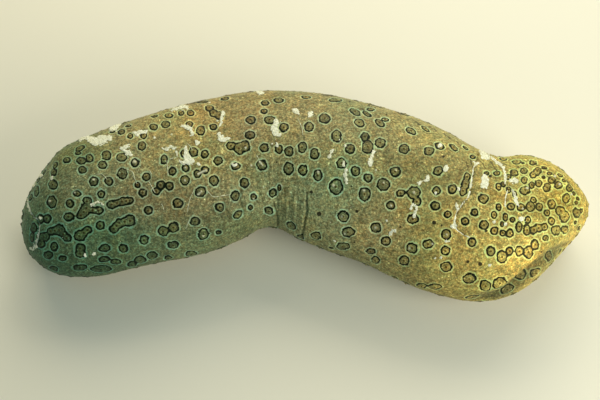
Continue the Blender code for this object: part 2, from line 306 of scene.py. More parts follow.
# =====================================================================================
# Ringed spots seen in the picture: (x, y, half-width, half-height[, tilt in degrees]).
# Spots in one list are fused.
# =====================================================================================
SPOTS = [
    # tail end and rear
    [(43.5, 172, 2, 4)], [(48, 163, 2, 3)], [(38, 180, 2.5, 3.5)], [(36, 191, 3, 7)], [(30, 197, 3, 4)],
    [(33, 228, 3.5, 5)], [(32, 237, 2.5, 5)], [(55, 165, 3, 4)], [(53.5, 172, 3.5, 4)], [(67, 160, 4, 3)],
    [(80, 148.5, 5, 2.5, -30)], [(78, 153, 3, 2)],
    [(81, 160.5, 4.8, 3.8), (89.5, 157.8, 3.8, 4)], [(82, 169.5, 4.5, 3.8)], [(52.5, 184.5, 4.8, 5.2)],
    [(51.2, 201.6, 5, 6.3)], [(77, 193.6, 4.3, 3.2)], [(69.6, 203.6, 4.3, 4.4)], [(93.4, 181, 4.8, 5)],
    [(108.6, 181, 4.5, 4.3)], [(106.3, 155, 4.7, 4.8), (102.5, 164.5, 4.5, 4.2)], [(121.5, 156.6, 5.3, 4.6)],
    [(135, 162.4, 4.2, 4.5)], [(122.2, 173.3, 5.4, 5.7)], [(112.4, 130.7, 3, 2.5)], [(121.5, 131.3, 3.7, 3.8)],
    [(128.2, 125.3, 3.2, 1.6)], [(130, 135.5, 3, 2.9)], [(143.5, 134.3, 3.6, 3.8)], [(141.8, 145.1, 4.4, 4.8)],
    [(100.9, 194, 4.2, 4.2)],
    [(87, 201, 4.6, 4.6), (86.5, 207.8, 6.2, 6), (84, 212, 5.4, 4.6), (81, 215.4, 4.6, 3.8),
     (92.6, 210.2, 4, 3.4), (98.5, 210.5, 5, 4.3)],
    [(68.8, 216.7, 5.2, 4.7)],
    [(111.5, 204.4, 5, 4.6), (117, 203, 3.9, 3.6), (122, 201.5, 4.8, 4.4), (126, 201, 4.2, 3.7), (129.7, 200.6, 4, 3.5)],
    [(142.6, 192.7, 4.2, 4.3)], [(137.4, 184.8, 2.8, 3)], [(146.2, 176.3, 4.2, 4.2)], [(148.3, 210.5, 4.4, 4.6)],
    [(39.8, 218.7, 3.6, 4.5), (47, 218.6, 4, 4.5)],
    [(50.6, 231.3, 4, 4), (55, 230.6, 4.4, 4.2), (59.4, 230, 6, 6), (63.4, 234.4, 4.4, 4), (66.8, 237.8, 4.5, 4.4)],
    [(44, 237, 5.5, 5), (41, 244, 4, 4)], [(54, 247, 4, 4.5)], [(48, 255.3, 5, 4)],
    [(79.7, 236, 6, 5.2), (84.2, 232.8, 4.6, 3.8), (87.7, 229.8, 4.8, 3.8)], [(100.4, 225.6, 4.6, 4.6)],
    [(130.1, 220.8, 5, 6), (124.8, 221.6, 4.4, 4.6), (119.6, 222.8, 4.6, 4.5), (116.8, 225.6, 4.6, 4.3),
     (114, 228.6, 5, 4.4)], [(144.1, 239.7, 5, 4.8)],
    [(80.4, 248.3, 5.3, 4.5), (80.4, 253.5, 5.3, 4.5)], [(104.5, 248.1, 5.8, 4.5)], [(123.4, 248.3, 4.8, 4.3)],
    [(62.6, 258.5, 4.4, 2.9)], [(104.3, 259.3, 5.8, 3), (115.8, 261.8, 5.5, 2.8)],
    [(80, 267.7, 7, 3), (101, 269.4, 10.8, 3.4)], [(54, 268.5, 5, 3)],
    [(132, 264.2, 4.5, 4.5), (140.5, 259.6, 6, 3.8), (152.3, 255.6, 5.5, 3.8)],
    [(168.2, 258.2, 3.8, 4.3)], [(191.3, 254.2, 6, 3)],
    # rear trunk
    [(154.4, 115.9, 3.5, 1.7)], [(168.7, 115.4, 4.2, 2.5)], [(174, 109.2, 3.8, 1.5)], [(181.2, 113, 3.3, 2.7)],
    [(190.5, 112.8, 3.8, 2.9)], [(153.4, 126.6, 4.3, 3.3)], [(165.4, 124, 4.6, 4)], [(189.3, 124, 3.6, 3.2)],
    [(200.6, 130.1, 4.8, 5)], [(213.2, 126.7, 4, 3.3)], [(202, 101.6, 7, 1.8)], [(224.7, 98.1, 4.3, 2.4)],
    [(209.6, 107.8, 4.3, 3.2), (213.5, 112.9, 4, 3.8), (219.4, 115, 4.5, 4)], [(163.9, 159.4, 3.8, 4.9)],
    [(183.6, 153.7, 3, 5)], [(193.6, 151.8, 4.6, 5)], [(204.9, 153.9, 4, 4.4)], [(217.8, 160.4, 4.6, 4.6)],
    [(172.4, 171.4, 4.2, 4.4)], [(185.7, 167.8, 3.9, 4.2)], [(197.4, 173.8, 3.9, 4.3), (205.3, 169.9, 4, 4)],
    [(184.7, 180, 4.7, 5.3)], [(213.9, 180.7, 4.7, 5.3)],
    [(160.6, 184.9, 4.5, 4.5), (156.3, 191.1, 4, 3.7), (169.4, 186, 4.2, 4.3)], [(200.5, 191.8, 5.7, 5.2)],
    [(177.8, 203.2, 5.2, 5)], [(219.7, 207.1, 4.6, 4.8)], [(195.1, 221.5, 5.3, 4.6)],
    [(163.1, 231.3, 5.2, 5), (173.5, 227.4, 5.5, 5.3)], [(203.5, 234.5, 6, 5.5, -35)], [(173.2, 245.1, 5.8, 4)],
    [(218.6, 232.5, 3, 2.2)],
    # middle
    [(250.7, 120.3, 5, 4.1)], [(250, 135.2, 4.9, 4.3)],
    [(230.9, 145.6, 4.8, 4), (239.1, 148.4, 5.5, 6), (245.3, 146.1, 5, 5.5)], [(264.3, 148, 4.5, 4.3)],
    [(263.9, 111.8, 3.6, 2.7)], [(264.9, 103, 4.3, 2.9)], [(278.5, 100.2, 4.9, 2.7)], [(269.7, 120.5, 5.6, 4.2)],
    [(283.8, 128.2, 4.7, 4.5)], [(235.8, 166.1, 5, 3.8)], [(261.8, 165.2, 5.5, 5.4)], [(244.5, 183, 4.5, 5)],
    [(235.7, 195.6, 4.8, 5.3)], [(253.4, 196.8, 3.5, 3.3)], [(250.5, 207.5, 2.7, 2.8)],
    [(238.1, 214.5, 5.5, 3.5, -35)], [(272.9, 193, 4.2, 4.5)], [(279.2, 188, 2, 4)], [(269, 210.3, 5, 4.2, 30)],
    [(278.8, 149.5, 4, 4.6)], [(289.2, 151.9, 4.6, 4.8)], [(302.2, 147.8, 4.8, 5.7)], [(314.6, 154.1, 4.6, 5.5)],
    [(309, 127, 5, 4.8)], [(324.9, 118.5, 5.9, 5)], [(306, 97, 5, 1.6)], [(335.9, 99.8, 7, 2.2)],
    [(336.5, 136.5, 5.3, 6.3)], [(350, 149.2, 5, 5)], [(288.6, 168.4, 5.3, 6.3)], [(302.9, 170.2, 4.6, 5.7)],
    [(317.9, 175.5, 4.5, 5.8)], [(341.6, 163.3, 5.2, 5.4)], [(355.6, 170.9, 4.8, 5)], [(367.9, 177.6, 4.6, 4.5)],
    [(383.2, 184.5, 6.8, 6.5)], [(395.2, 171.8, 5.2, 5.6)], [(335.9, 186.7, 6.8, 8.5)], [(364.5, 194.3, 6.3, 7.2)],
    [(343.2, 216.4, 6, 5.8)], [(348.1, 232, 6.8, 4.9)], [(343, 246.3, 6.7, 3.7)], [(331.2, 248, 3, 1.2)],
    [(315.7, 236.1, 5.2, 4)], [(319.4, 251, 4.5, 3.5, 40)], [(300.1, 237.5, 3.5, 4)], [(291, 225.8, 5, 4.5, 30)],
    [(375.8, 227.8, 5.5, 5.2)], [(385.6, 241, 5, 4.7)], [(390.7, 205.5, 4.5, 4.3)], [(370.8, 251.5, 5, 3)],
    [(375.5, 260.4, 4.5, 4.5)],
    # front trunk
    [(355.1, 112.1, 6.2, 3, 30)], [(366.7, 114.4, 4.8, 2.3, 30)], [(370.7, 109.5, 4, 2)],
    [(359.1, 123, 5.5, 4, 25)], [(379.6, 123, 5.5, 3.2, 30)], [(385, 119.7, 4, 2)],
    [(364.9, 136.4, 4.3, 4.5), (367.7, 146.4, 6, 7)], [(380.4, 142.3, 5.6, 5)], [(403.9, 148.7, 5.5, 5)],
    [(429.1, 151.1, 5.5, 4.4)], [(411, 131, 5.5, 3, 30)], [(439.4, 146.4, 5, 3.5, 30)],
    [(453.6, 147.4, 5, 2.7, 40)], [(405, 113.6, 6, 2, 30)], [(425.5, 128.8, 5, 2, 35)],
    [(465.7, 147.5, 3.5, 1.6, 45)], [(472.9, 156.4, 3, 2.3)], [(438.1, 171, 5, 4.8)],
    [(400.6, 193, 4.6, 3.8), (414.2, 192.3, 7, 6.5), (417, 201.5, 4.3, 4.6)], [(436.7, 190.4, 4.3, 4.2)],
    [(452.5, 189, 4.7, 4.7), (463, 191, 3.6, 5.4), (465.8, 184, 4, 6), (467, 177, 3.2, 5)],
    [(435.4, 205.5, 5.3, 4.7)], [(447.6, 214, 3.8, 3.9)], [(412.9, 218.9, 6, 5)], [(483.3, 198.6, 5.2, 5)],
    [(474.6, 212.2, 4, 4.2)], [(465.3, 221.2, 4.3, 4.2)], [(484, 225.3, 5, 5)], [(446.2, 234.6, 5, 5.6)],
    [(428.1, 244, 5.7, 4.6)], [(412.1, 248.1, 6, 5.2)], [(445.5, 251.1, 4.8, 5)], [(404, 260.7, 5.3, 5.2)],
    [(446.2, 267.2, 6, 5.2)], [(471.7, 242, 4.4, 4.7)], [(490.5, 251, 4.6, 5.3)], [(469.4, 278.6, 6.7, 5.4)],
    [(485.2, 285, 6, 4.6, -15), (499, 282, 7.3, 4.8, -20)], [(421.4, 286.2, 5.5, 2.8), (434.8, 287.3, 6.8, 3.2)],
    [(405.4, 284.2, 5.5, 2.8)], [(394, 278.2, 5, 2)], [(472.3, 298.3, 7, 2.5)], [(508.2, 291.5, 7.5, 2.8, -30)],
    [(522.8, 276.5, 6.8, 4.3, -40)], [(536.2, 273.3, 6, 3, -40)], [(551.1, 257.4, 4, 5.8)],
    # head end
    [(486.7, 172.9, 2.8, 2.3)], [(497, 172.9, 3.8, 2.6)], [(498.5, 187, 3, 4.6)], [(503.2, 184.1, 2.5, 3.5)],
    [(508.5, 189.8, 2.6, 3.6)], [(514.7, 194, 2.5, 3.8)], [(510.9, 206.6, 4.3, 4)],
    [(498.7, 207.5, 2.7, 3.8), (493.9, 215, 3.1, 4)], [(505.2, 217.1, 2.8, 4.1)], [(512.1, 219.8, 3, 3)],
    [(501.9, 224.3, 2, 3)], [(494.1, 230.8, 4, 4.4)], [(502.5, 233, 3, 3.5), (509.7, 233.3, 3.8, 4.5)],
    [(503, 158.7, 4.2, 1.9)], [(516.9, 161.4, 5, 2.5)], [(533.1, 162, 4, 2.8)], [(508.5, 176.5, 3, 3.5)],
    [(514.4, 172.5, 4, 4)], [(524.1, 170.3, 3.7, 3.4)], [(537.2, 171, 4.2, 4), (533.1, 174.5, 3.5, 4)],
    [(524.4, 180, 3.6, 3.8)], [(538.7, 183, 3.7, 3.7), (531.8, 185.1, 3, 3.8), (525, 190.4, 5.2, 4.4)],
    [(547.1, 187.3, 4, 4.6)], [(552, 179.8, 4, 3.5), (558.4, 184.8, 4.2, 3.8)], [(569.5, 188, 3.5, 4.5)],
    [(566.8, 198, 3.9, 5)],
    [(520.7, 207.5, 4, 4), (530.3, 206.6, 4.8, 5), (533.3, 200, 3.5, 3.5), (539.4, 207, 3.7, 4.2)],
    [(551.7, 204.2, 4.3, 5.2), (547.1, 212.7, 3.3, 3.6), (551.6, 221.2, 3.8, 4.3)],
    [(560.8, 210.8, 5, 5), (564.5, 216.8, 5, 6)], [(576.5, 212.8, 4, 5)],
    [(518.9, 226.8, 3.5, 5.5), (526.7, 230.2, 4, 5.3), (527.8, 220, 3.3, 4)],
    [(533.7, 230, 4.5, 4.5), (538.4, 228.1, 4.3, 4.3), (544.3, 227, 3.7, 4)],
    [(555.9, 230.3, 4.7, 5), (564.6, 229.8, 3.7, 4.3)], [(545.6, 238, 3, 3)],
    [(501.8, 257, 5.5, 6.5), (509.4, 251.1, 4.2, 4.6)],
    [(519.3, 251.2, 4.7, 5), (528.1, 252, 5, 6), (534.8, 244.5, 4.2, 5)],
    [(577.9, 198.7, 2, 2)], [(576.6, 202.6, 2, 2)], [(574.9, 222.3, 2, 2)], [(560.3, 175, 4, 2)],
    [(544.5, 167.5, 3, 1.8)], [(549.5, 173.3, 2.6, 1.8)], [(564, 180.5, 2.4, 2)], [(574, 193.3, 1.9, 2.4)],
    [(581, 211, 1.8, 2.6)], [(578.5, 228, 2.4, 2.6)], [(523, 162.5, 1.8, 1.3)], [(543.5, 177, 1.7, 1.7)],
]
# small solid dark dots: (x, y, radius)
DOTS = [
    (311.1, 192.2, 1.5), (318.9, 214.1, 2.2), (351.5, 186.3, 0.9), (276.5, 162.3, 0.8), (356.9, 211.3, 1.6),
    (354.6, 242.2, 0.8), (434.1, 222.6, 2), (441.6, 225.4, 1), (400.4, 227, 1), (467.9, 261.8, 1.5),
    (480.2, 264, 2), (540.3, 251.7, 1), (443.4, 156.6, 1.2), (490.3, 176, 1.5), (486, 230.8, 1.5),
]
# folds and creases: points, depth and half-width in mm
CREASES = [
    ("ring crease", [(480, 150), (475.6, 163), (473.2, 174.5), (471.3, 183), (470.1, 194), (464.3, 201.7),
                     (459.7, 207.9), (456.6, 213.5), (455.6, 220.6), (454.1, 226.7), (460.2, 231.8),
                     (465.3, 235.9), (470.4, 236.9)], 0.9, 0.55),
    ("second crease", [(491.4, 155.8), (496.6, 159.1), (500.9, 163), (504.8, 168.7), (505.7, 174.4),
                       (505.2, 180.7)], 0.8, 0.6),
    ("second crease, lower", [(505.2, 180.7), (512.3, 191.5), (515.3, 200.2), (517.9, 203.3)], 0.6, 0.5),
    ("second crease, branch", [(508, 190), (505.6, 198.7), (505.1, 204.8)], 0.5, 0.5),
    ("bend fold 1", [(306.5, 188), (306, 200.5), (306.5, 212), (304.5, 219.3), (302.8, 230), (300, 243)],
     1.3, 0.8),
    ("bend fold 2", [(272.5, 198), (275, 209.5), (277.4, 218), (277.6, 230), (279, 236)], 1.0, 0.7),
    ("bend fold 3", [(240.5, 186), (240, 200), (243, 210), (243, 216)], 1.0, 0.7),
    ("bend fold 4", [(258, 190), (262, 200), (263.5, 208)], 0.7, 0.7),
    ("bend fold 5", [(222, 196), (224, 206), (228, 214), (230, 224)], 0.8, 0.8),
    ("bend fold 6", [(289, 196), (288.5, 210), (287.5, 222)], 0.35, 0.8),
    ("bend fold 7", [(296.5, 182), (297, 196), (296, 214)], 0.3, 0.8),
    ("rear fold", [(161, 228), (161.6, 243), (163.5, 252), (166, 262)], 0.5, 0.8),
    ("tail rim", [(27.5, 200), (28, 205), (29.3, 212), (32, 217), (36, 219.5), (38.5, 226), (37.8, 232),
                  (37, 238), (35.6, 244), (33, 249)], 1.2, 0.8),
    ("head rim", [(584.6, 200), (586.4, 206), (586.6, 213.3), (585, 219), (581.5, 224)], 0.8, 0.8),
]
# the ridge where the head's near flank turns under, from the tip towards the trunk
RIDGE = [(572, 236), (560, 243), (548, 250), (537, 258.5), (525, 267.5), (514, 277), (505, 285), (494, 290),
         (482, 293.5), (470, 296), (456, 298.5)]
# stuck sand: strokes of (x, y, radius)
SAND = [
    [(86, 137.5, 2), (92, 140.5, 3.6), (98, 141, 4.6), (104, 139, 4), (109, 137.5, 3.2)],
    [(80, 140.8, 0.8), (84.8, 136, 1)], [(111, 128.5, 2), (114.4, 127.2, 3.6), (118, 124.5, 2.4)],
    [(128, 144.8, 1.8), (121.6, 148.8, 1.8), (128, 152, 2.4), (129.6, 154.4, 1.6)],
    [(133.6, 132, 1.6), (136.8, 133.4, 2.5), (141, 131.5, 1.5), (146.4, 130.4, 1.2)], [(162, 107.2, 3)],
    [(172.8, 110.4, 1), (178, 109.5, 1.3), (183.2, 107.6, 2.5), (187.2, 108.4, 1.5)],
    [(183.2, 125.6, 1.4), (187, 127.4, 2), (190.4, 128.8, 1.8), (192, 133.6, 1.4)], [(190.4, 138, 0.8)],
    [(196.8, 142.4, 2)], [(154.4, 137.6, 1)], [(163.2, 148.8, 1.3), (169, 148.2, 1.6), (175.2, 147.6, 1.6)],
    [(186.4, 148, 1.8), (186.2, 153, 2.6), (187.5, 158, 4.2), (190, 160.5, 3.8), (183.2, 162.4, 2)],
    [(176, 152, 0.7), (179.2, 160, 0.7), (183.2, 164, 0.8)], [(198.4, 164.2, 1.3)],
    [(292, 110.8, 1.2), (295.5, 112, 1.9), (298.4, 114.4, 1.4)],
    [(222.4, 112.8, 1.6), (221.6, 118, 2), (220, 125.6, 1.2)], [(217.6, 120, 1.2)], [(210, 103.6, 0.8)],
    [(219.2, 135.2, 2.4), (222, 138.5, 2.8), (224.8, 140, 1.8), (229.6, 138.4, 1.1)],
    [(276.8, 123.2, 3.2), (274.4, 129, 3.4), (276, 134.4, 3.2)], [(280, 136, 2)],
    [(275.2, 140, 1.1), (271.2, 144.8, 0.9)], [(276, 144, 1), (277.2, 146.4, 1)],
    [(257, 90.5, 1.6), (260, 92, 2.6), (262, 93, 1.6)], [(231.2, 164, 1.5), (235.5, 165.5, 1.3)],
    [(245.6, 147.2, 0.7)], [(332, 150.8, 1.1), (330.4, 154, 1.3), (328.8, 158, 1)], [(310.4, 114.6, 2.3)],
    [(374.4, 150.4, 0.7), (372.5, 155, 1.2), (371.2, 159, 2), (370, 164.5, 2.4)],
    [(376.3, 170, 1), (376, 172, 1.2)], [(345.2, 170, 1.2), (345.2, 174, 1.5), (346.2, 183.2, 0.9)],
    [(445.6, 168.4, 2.4)], [(419.2, 183.2, 1.8), (423.2, 180.2, 0.8), (426.4, 180, 2.2), (427.6, 177.2, 1)],
    [(411, 206.5, 1.3), (412.8, 204.5, 1.3), (415.5, 206, 1.3), (416, 209.5, 1.3), (414.5, 213, 1.3),
     (414.8, 216.5, 1.1)], [(411.2, 209, 1.2)],
    [(389.6, 235.2, 1.3), (391, 232.5, 1.4), (392.8, 230.4, 1.3), (396.8, 230.8, 1)], [(435.2, 192.8, 1.2)],
    [(459, 189.2, 1.3)], [(456, 204.8, 1.2), (457.6, 208, 1)], [(454, 226.4, 2.4)], [(386, 220.8, 1)],
    [(344.8, 146.4, 1.4)], [(339.2, 140, 1.2)], [(343.6, 161.6, 1), (344, 166.4, 1)],
    [(438, 147, 1), (441, 145, 1)], [(446, 241.2, 0.8), (450, 241, 0.8)], [(436, 258, 0.8), (441, 257.5, 0.8)],
    [(480.5, 151, 1.4), (484, 155.5, 3), (487.5, 157, 2.4)], [(476, 162.7, 2.4)],
    [(485, 178, 3.4), (485, 182, 3.8), (485, 186, 3)], [(512, 180.5, 2), (515.5, 181, 2.8)],
    [(514.9, 200.6, 1.6), (517.3, 204, 1.2)], [(522, 219, 3)], [(494, 222, 1.2)], [(505.1, 224.2, 1.2)],
    [(40.8, 176, 2)], [(33, 184.7, 2)], [(51.6, 177.7, 1.8)], [(40.8, 218.5, 1.3)], [(31.3, 248, 1.2)],
    [(36, 246, 2.2)], [(94.5, 253.1, 1.8)], [(91.9, 204.6, 1.2), (98, 202, 1.4), (103.2, 204.6, 1)],
    [(335.2, 240.8, 0.8)], [(85, 255, 0.8)], [(490, 265, 1.2)],
    [(454.2, 226, 1.6)],
]
# finer and smoother lines of the same sand
SAND_LINES = [
    # along the ring crease and the second crease
    [(476, 163, 1.1), (473.3, 168, 0.8), (472.7, 174.7, 0.7), (471.2, 182.7, 0.8), (470.6, 191, 0.7), (467.5, 197.8, 0.9),
     (461.4, 205.4, 0.8), (456.8, 212, 0.8), (454.8, 219, 0.8), (454.3, 226, 1.2), (457.6, 230.4, 0.9),
     (463.8, 234.8, 0.7), (469.6, 237.6, 0.5)],
    [(491.3, 157, 1.2), (496.7, 162, 1.5), (501.3, 164.7, 1.5), (504, 168.7, 1.6), (505.3, 174.7, 1.5),
     (505.6, 180, 1.1), (504.7, 184, 0.6)],
    [(512.4, 190.6, 0.8), (514.4, 196, 1.1), (516.8, 202, 1.2), (518.5, 206.5, 0.6)],
    [(507.5, 190, 0.5), (505.2, 198.6, 0.5), (504.8, 207, 0.4)],
    # pale rim at the tail end
    [(27.4, 199, 0.4), (27.8, 207, 0.6), (30.4, 214.6, 0.8), (33.6, 218, 0.8), (38, 219.4, 0.6)],
    [(38.4, 223.7, 0.6), (37.6, 231, 0.7), (37, 238, 0.8), (35.4, 245.3, 1.1), (33.4, 249.6, 1.2)],
]
# pale flecks that sit in the ringed spots
FLECKS = [
    [(134.4, 161.8, 1.5)], [(171.6, 134.4, 0.9)], [(93.2, 179.5, 1.1)], [(74.6, 192.5, 0.9)], [(49.9, 201.1, 1.1)],
    [(184.8, 180.4, 0.9)], [(185.6, 168, 0.9)], [(203.2, 236, 0.9)], [(198, 194.5, 0.7), (201.5, 191.5, 0.7)],
    [(198, 174, 0.8), (206, 170, 0.9)], [(259.2, 161.2, 0.6), (262.4, 165.6, 0.7)], [(318, 172, 1.1)],
    [(333.6, 185.2, 1.1)], [(251.2, 165.2, 0.6)], [(263.2, 187.2, 0.6)], [(396, 170.4, 0.9)],
    [(364, 190.4, 0.9)], [(383.6, 182.8, 0.9)], [(414, 192.4, 0.9)], [(341.6, 216.8, 0.8)],
    [(375.2, 227.6, 0.8)], [(344.8, 233.6, 0.8)], [(409.6, 248.4, 0.8)], [(432.4, 244, 0.8)],
    [(446.4, 234.4, 0.8)], [(391.2, 205.6, 0.8)], [(555, 176, 1)], [(559.5, 184.2, 1)], [(571.5, 194.3, 1)],
    [(527.2, 188, 1)], [(522.8, 208.9, 0.8)], [(282, 185.5, 0.7)], [(253.5, 198.5, 0.7)],
]
# thin dark streaks along the far edge: strokes of (x, y, radius)
STREAKS = [
    [(187.2, 104.4, 0.5), (196, 102, 0.9), (208, 100.8, 0.6)], [(217.6, 96, 0.8)],
    [(244.8, 90.4, 0.7), (252.8, 91.2, 0.7)], [(321.6, 94.8, 0.6), (332, 95.6, 0.8)], [(349.6, 100.8, 0.8)],
    [(368.8, 105.2, 0.8)], [(375.2, 107.6, 0.8)], [(386.4, 114.8, 0.8)], [(418.4, 124.4, 0.8)], [(132, 211.6, 0.8)],
    [(372, 103.5, 0.3), (377, 106.2, 0.6), (381, 108, 0.3)], [(395, 111, 0.3), (402, 115, 0.6)],
    [(413, 120, 0.3), (420, 124.5, 0.6), (426, 127, 0.3)], [(429, 126, 0.3), (436, 130, 0.6)],
    [(362, 109, 0.4), (366, 112.4, 0.6)], [(384, 124, 0.4), (389, 126.5, 0.4)], [(391, 120, 0.4), (396, 123, 0.5)],
    [(444, 134, 0.4), (450, 138, 0.6)], [(456, 141, 0.3), (461, 145, 0.5)],
    # short wrinkles on the far side of the head, drawn as lines of painted shade
    [(528.7, 160.5, 0.3), (533, 162.2, 0.6), (538.5, 166.3, 0.4)], [(543.4, 167.1, 0.4), (551.7, 172.8, 0.7), (558.2, 179.4, 0.4)],
    [(546.7, 175.3, 0.3), (551, 178.2, 0.5), (554.9, 181.9, 0.3)], [(561.5, 175.8, 0.3), (567, 181, 0.6), (573, 189.3, 0.4)],
    [(538.5, 169.6, 0.3), (545, 172.8, 0.5)], [(507.3, 169.6, 0.3), (512.2, 172.8, 0.5)], [(568, 187.6, 0.4), (571.4, 190.9, 0.4)],
    [(569.7, 205.7, 0.3), (575, 204.4, 0.6), (579.6, 204.9, 0.4)], [(576.3, 225.4, 0.4), (579, 229.5, 0.5)],
    [(518, 166.6, 0.4), (522, 168.2, 0.4)], [(500.5, 163.5, 0.4), (506, 164.6, 0.4)], [(564.5, 203, 0.3), (568, 207, 0.5)],
    [(470.6, 160, 0.4), (472.2, 166, 0.6), (474.5, 172, 0.4)], [(466.5, 163, 0.4), (468, 167.5, 0.6), (467, 171, 0.4)],
    [(479, 158.5, 0.4), (483, 163, 0.5), (486, 169, 0.4)], [(490.5, 161, 0.5), (494.5, 166.4, 0.7), (497, 170, 0.4)],
]
THREADS = [
    ([(297.6, 117.6), (299.3, 122), (302.2, 128), (302.9, 135.4)], 0.2),
    ([(206.5, 189.7), (210, 194), (213.2, 197.3), (219, 196.2), (230.5, 194.4)], 0.22),
    ([(101.6, 174), (104, 175.6), (107.2, 179.6)], 0.22),
    ([(96, 174.4), (99, 174.2), (101.6, 174)], 0.2),
    ([(126.4, 169.2), (130, 170.6), (133.6, 172.4), (133.6, 176), (136.8, 183.6)], 0.22),
    ([(148.8, 181.2), (152, 187), (155.2, 193.2)], 0.2),
    ([(149.6, 170), (150.4, 172), (151.6, 174)], 0.2),
    ([(166.8, 160.4), (167.6, 168), (168, 175.6)], 0.16),
    ([(169.6, 159.2), (173, 158), (176, 157.6)], 0.2),
    ([(193.6, 190.8), (190.6, 197), (188.8, 202.8), (187.2, 212.4)], 0.16),
    ([(190.4, 216.4), (188, 223), (185.6, 229.2)], 0.16),
    ([(161.6, 203.6), (163, 207), (164, 210)], 0.16),
    ([(186.5, 143), (190.5, 146.5), (192.5, 150)], 0.2),
    ([(166, 149), (169.5, 148), (175, 147.6)], 0.24),
    ([(370.2, 154), (372.8, 158.5), (372, 163.5)], 0.2),
    ([(344, 168), (345.2, 174), (345.6, 180), (346.6, 184.5)], 0.22),
    ([(256.5, 155), (258.5, 158.5), (259, 160)], 0.2),
    ([(92, 204.5), (96, 203), (100.5, 201.5), (103, 204)], 0.22),
]
# soft broad patches, partly the skin's own tone and partly painted light and painted shade, darkest low on the near
# flank towards the tail: (x, y, half-width, half-height, tilt, (red, green, blue) factors)
TONE_AND_PAINTED_LIGHT_PATCHES = [
    (510, 262, 45, 13, -25, (1.28, 1.26, 1.20)),
    (320, 190, 60, 50, 0, (0.92, 1.02, 1.06)),
    (240, 120, 70, 34, 0, (1.12, 1.02, 0.92)),
    (150, 205, 60, 28, 0, (1.10, 0.96, 0.92)),
    (250, 130, 15, 20, 0, (0.86, 0.84, 0.98)),
    (425, 155, 45, 22, 0, (0.90, 0.90, 0.86)),
    (435, 245, 35, 40, 0, (1.12, 1.10, 0.98)),
    (80, 268, 95, 24, 0, (0.37, 0.56, 0.55)),
    (95, 232, 72, 24, 0, (0.58, 0.84, 0.84)),
    (240, 224, 42, 20, 0, (0.62, 0.74, 0.72)),
    (30, 232, 22, 48, 0, (0.72, 0.94, 0.92)),
    (75, 150, 36, 18, 0, (0.78, 0.86, 0.72)),
    (122, 148, 20, 16, 0, (1.30, 1.24, 1.20)),
    (340, 175, 34, 24, 0, (0.94, 1.10, 1.16)),
    (165, 118, 50, 22, 0, (1.38, 1.20, 0.98)),
    (200, 150, 60, 30, 0, (1.15, 1.15, 1.04)),
    (170, 248, 80, 24, 0, (0.80, 0.96, 0.96)),
    (280, 264, 60, 20, 0, (0.66, 0.70, 0.66)),
    (300, 208, 55, 30, 0, (1.16, 1.30, 1.42)),
    (385, 235, 45, 26, 0, (1.25, 1.20, 1.30)),
    (445, 250, 45, 34, 0, (1.13, 1.07, 1.05)),
    (440, 138, 60, 16, 20, (1.22, 1.28, 1.26)),
    (385, 165, 75, 24, 10, (0.82, 0.86, 0.86)),
    (500, 252, 40, 24, 0, (1.36, 1.32, 1.20)),
    (566, 200, 28, 24, 0, (0.78, 0.78, 0.66)),
]

spots = []      # each: group, centre, shape (tangent basis and inverse matrix), mean radius


def place(px, py, rx, ry, tilt=0.0, widest=1.7, low=1.0 * MM, high=6.2 * MM):
    """The ellipse on the skin whose image is the one given."""
    found = on_body(px, py)
    if found is None:
        return None
    c, n = found
    e1 = np.cross(n, [0.0, 1.0, 0.0])
    e1 /= np.linalg.norm(e1)
    e2 = np.cross(n, e1)
    a = pixel_jacobian(c) @ np.column_stack([e1, e2])
    k = math.radians(tilt)
    e = np.array([[math.cos(k), -math.sin(k)], [math.sin(k), math.cos(k)]]) @ np.diag([rx, ry])
    u, sizes, _ = np.linalg.svd(np.linalg.inv(a) @ e)
    sizes = np.clip(sizes, low, high)
    sizes[0] = min(sizes[0], sizes[1] * widest)
    return c, n, e1, e2, u, sizes


for number, group in enumerate(SPOTS):
    for spot in group:
        trim = 0.1 if len(group) == 1 else 0.0
        found = place(spot[0], spot[1], spot[2] - trim, spot[3] - trim, spot[4] if len(spot) > 4 else 0.0)
        if found is not None:
            spots.append((number, *found))

# ---- the side that the picture doesn't show: the same kind of spots, by rule --------
s_all, base, around, girth = grid(STEP, ROUND)
NU, NV = base.shape[:2]
normals = grid_normals(base)
if normals[NU // 2, NV // 2, 2] < 0:
    normals = -normals
flat = base.reshape(-1, 3)
flat_n = normals.reshape(-1, 3)
S = np.repeat(s_all, NV)
T = (around / girth[:, None]).reshape(-1)        # 0 and 1 at the middle of the sole, 0.5 on the back
to_eye = EYE - flat
facing = (flat_n * to_eye).sum(1) / np.linalg.norm(to_eye, axis=1)

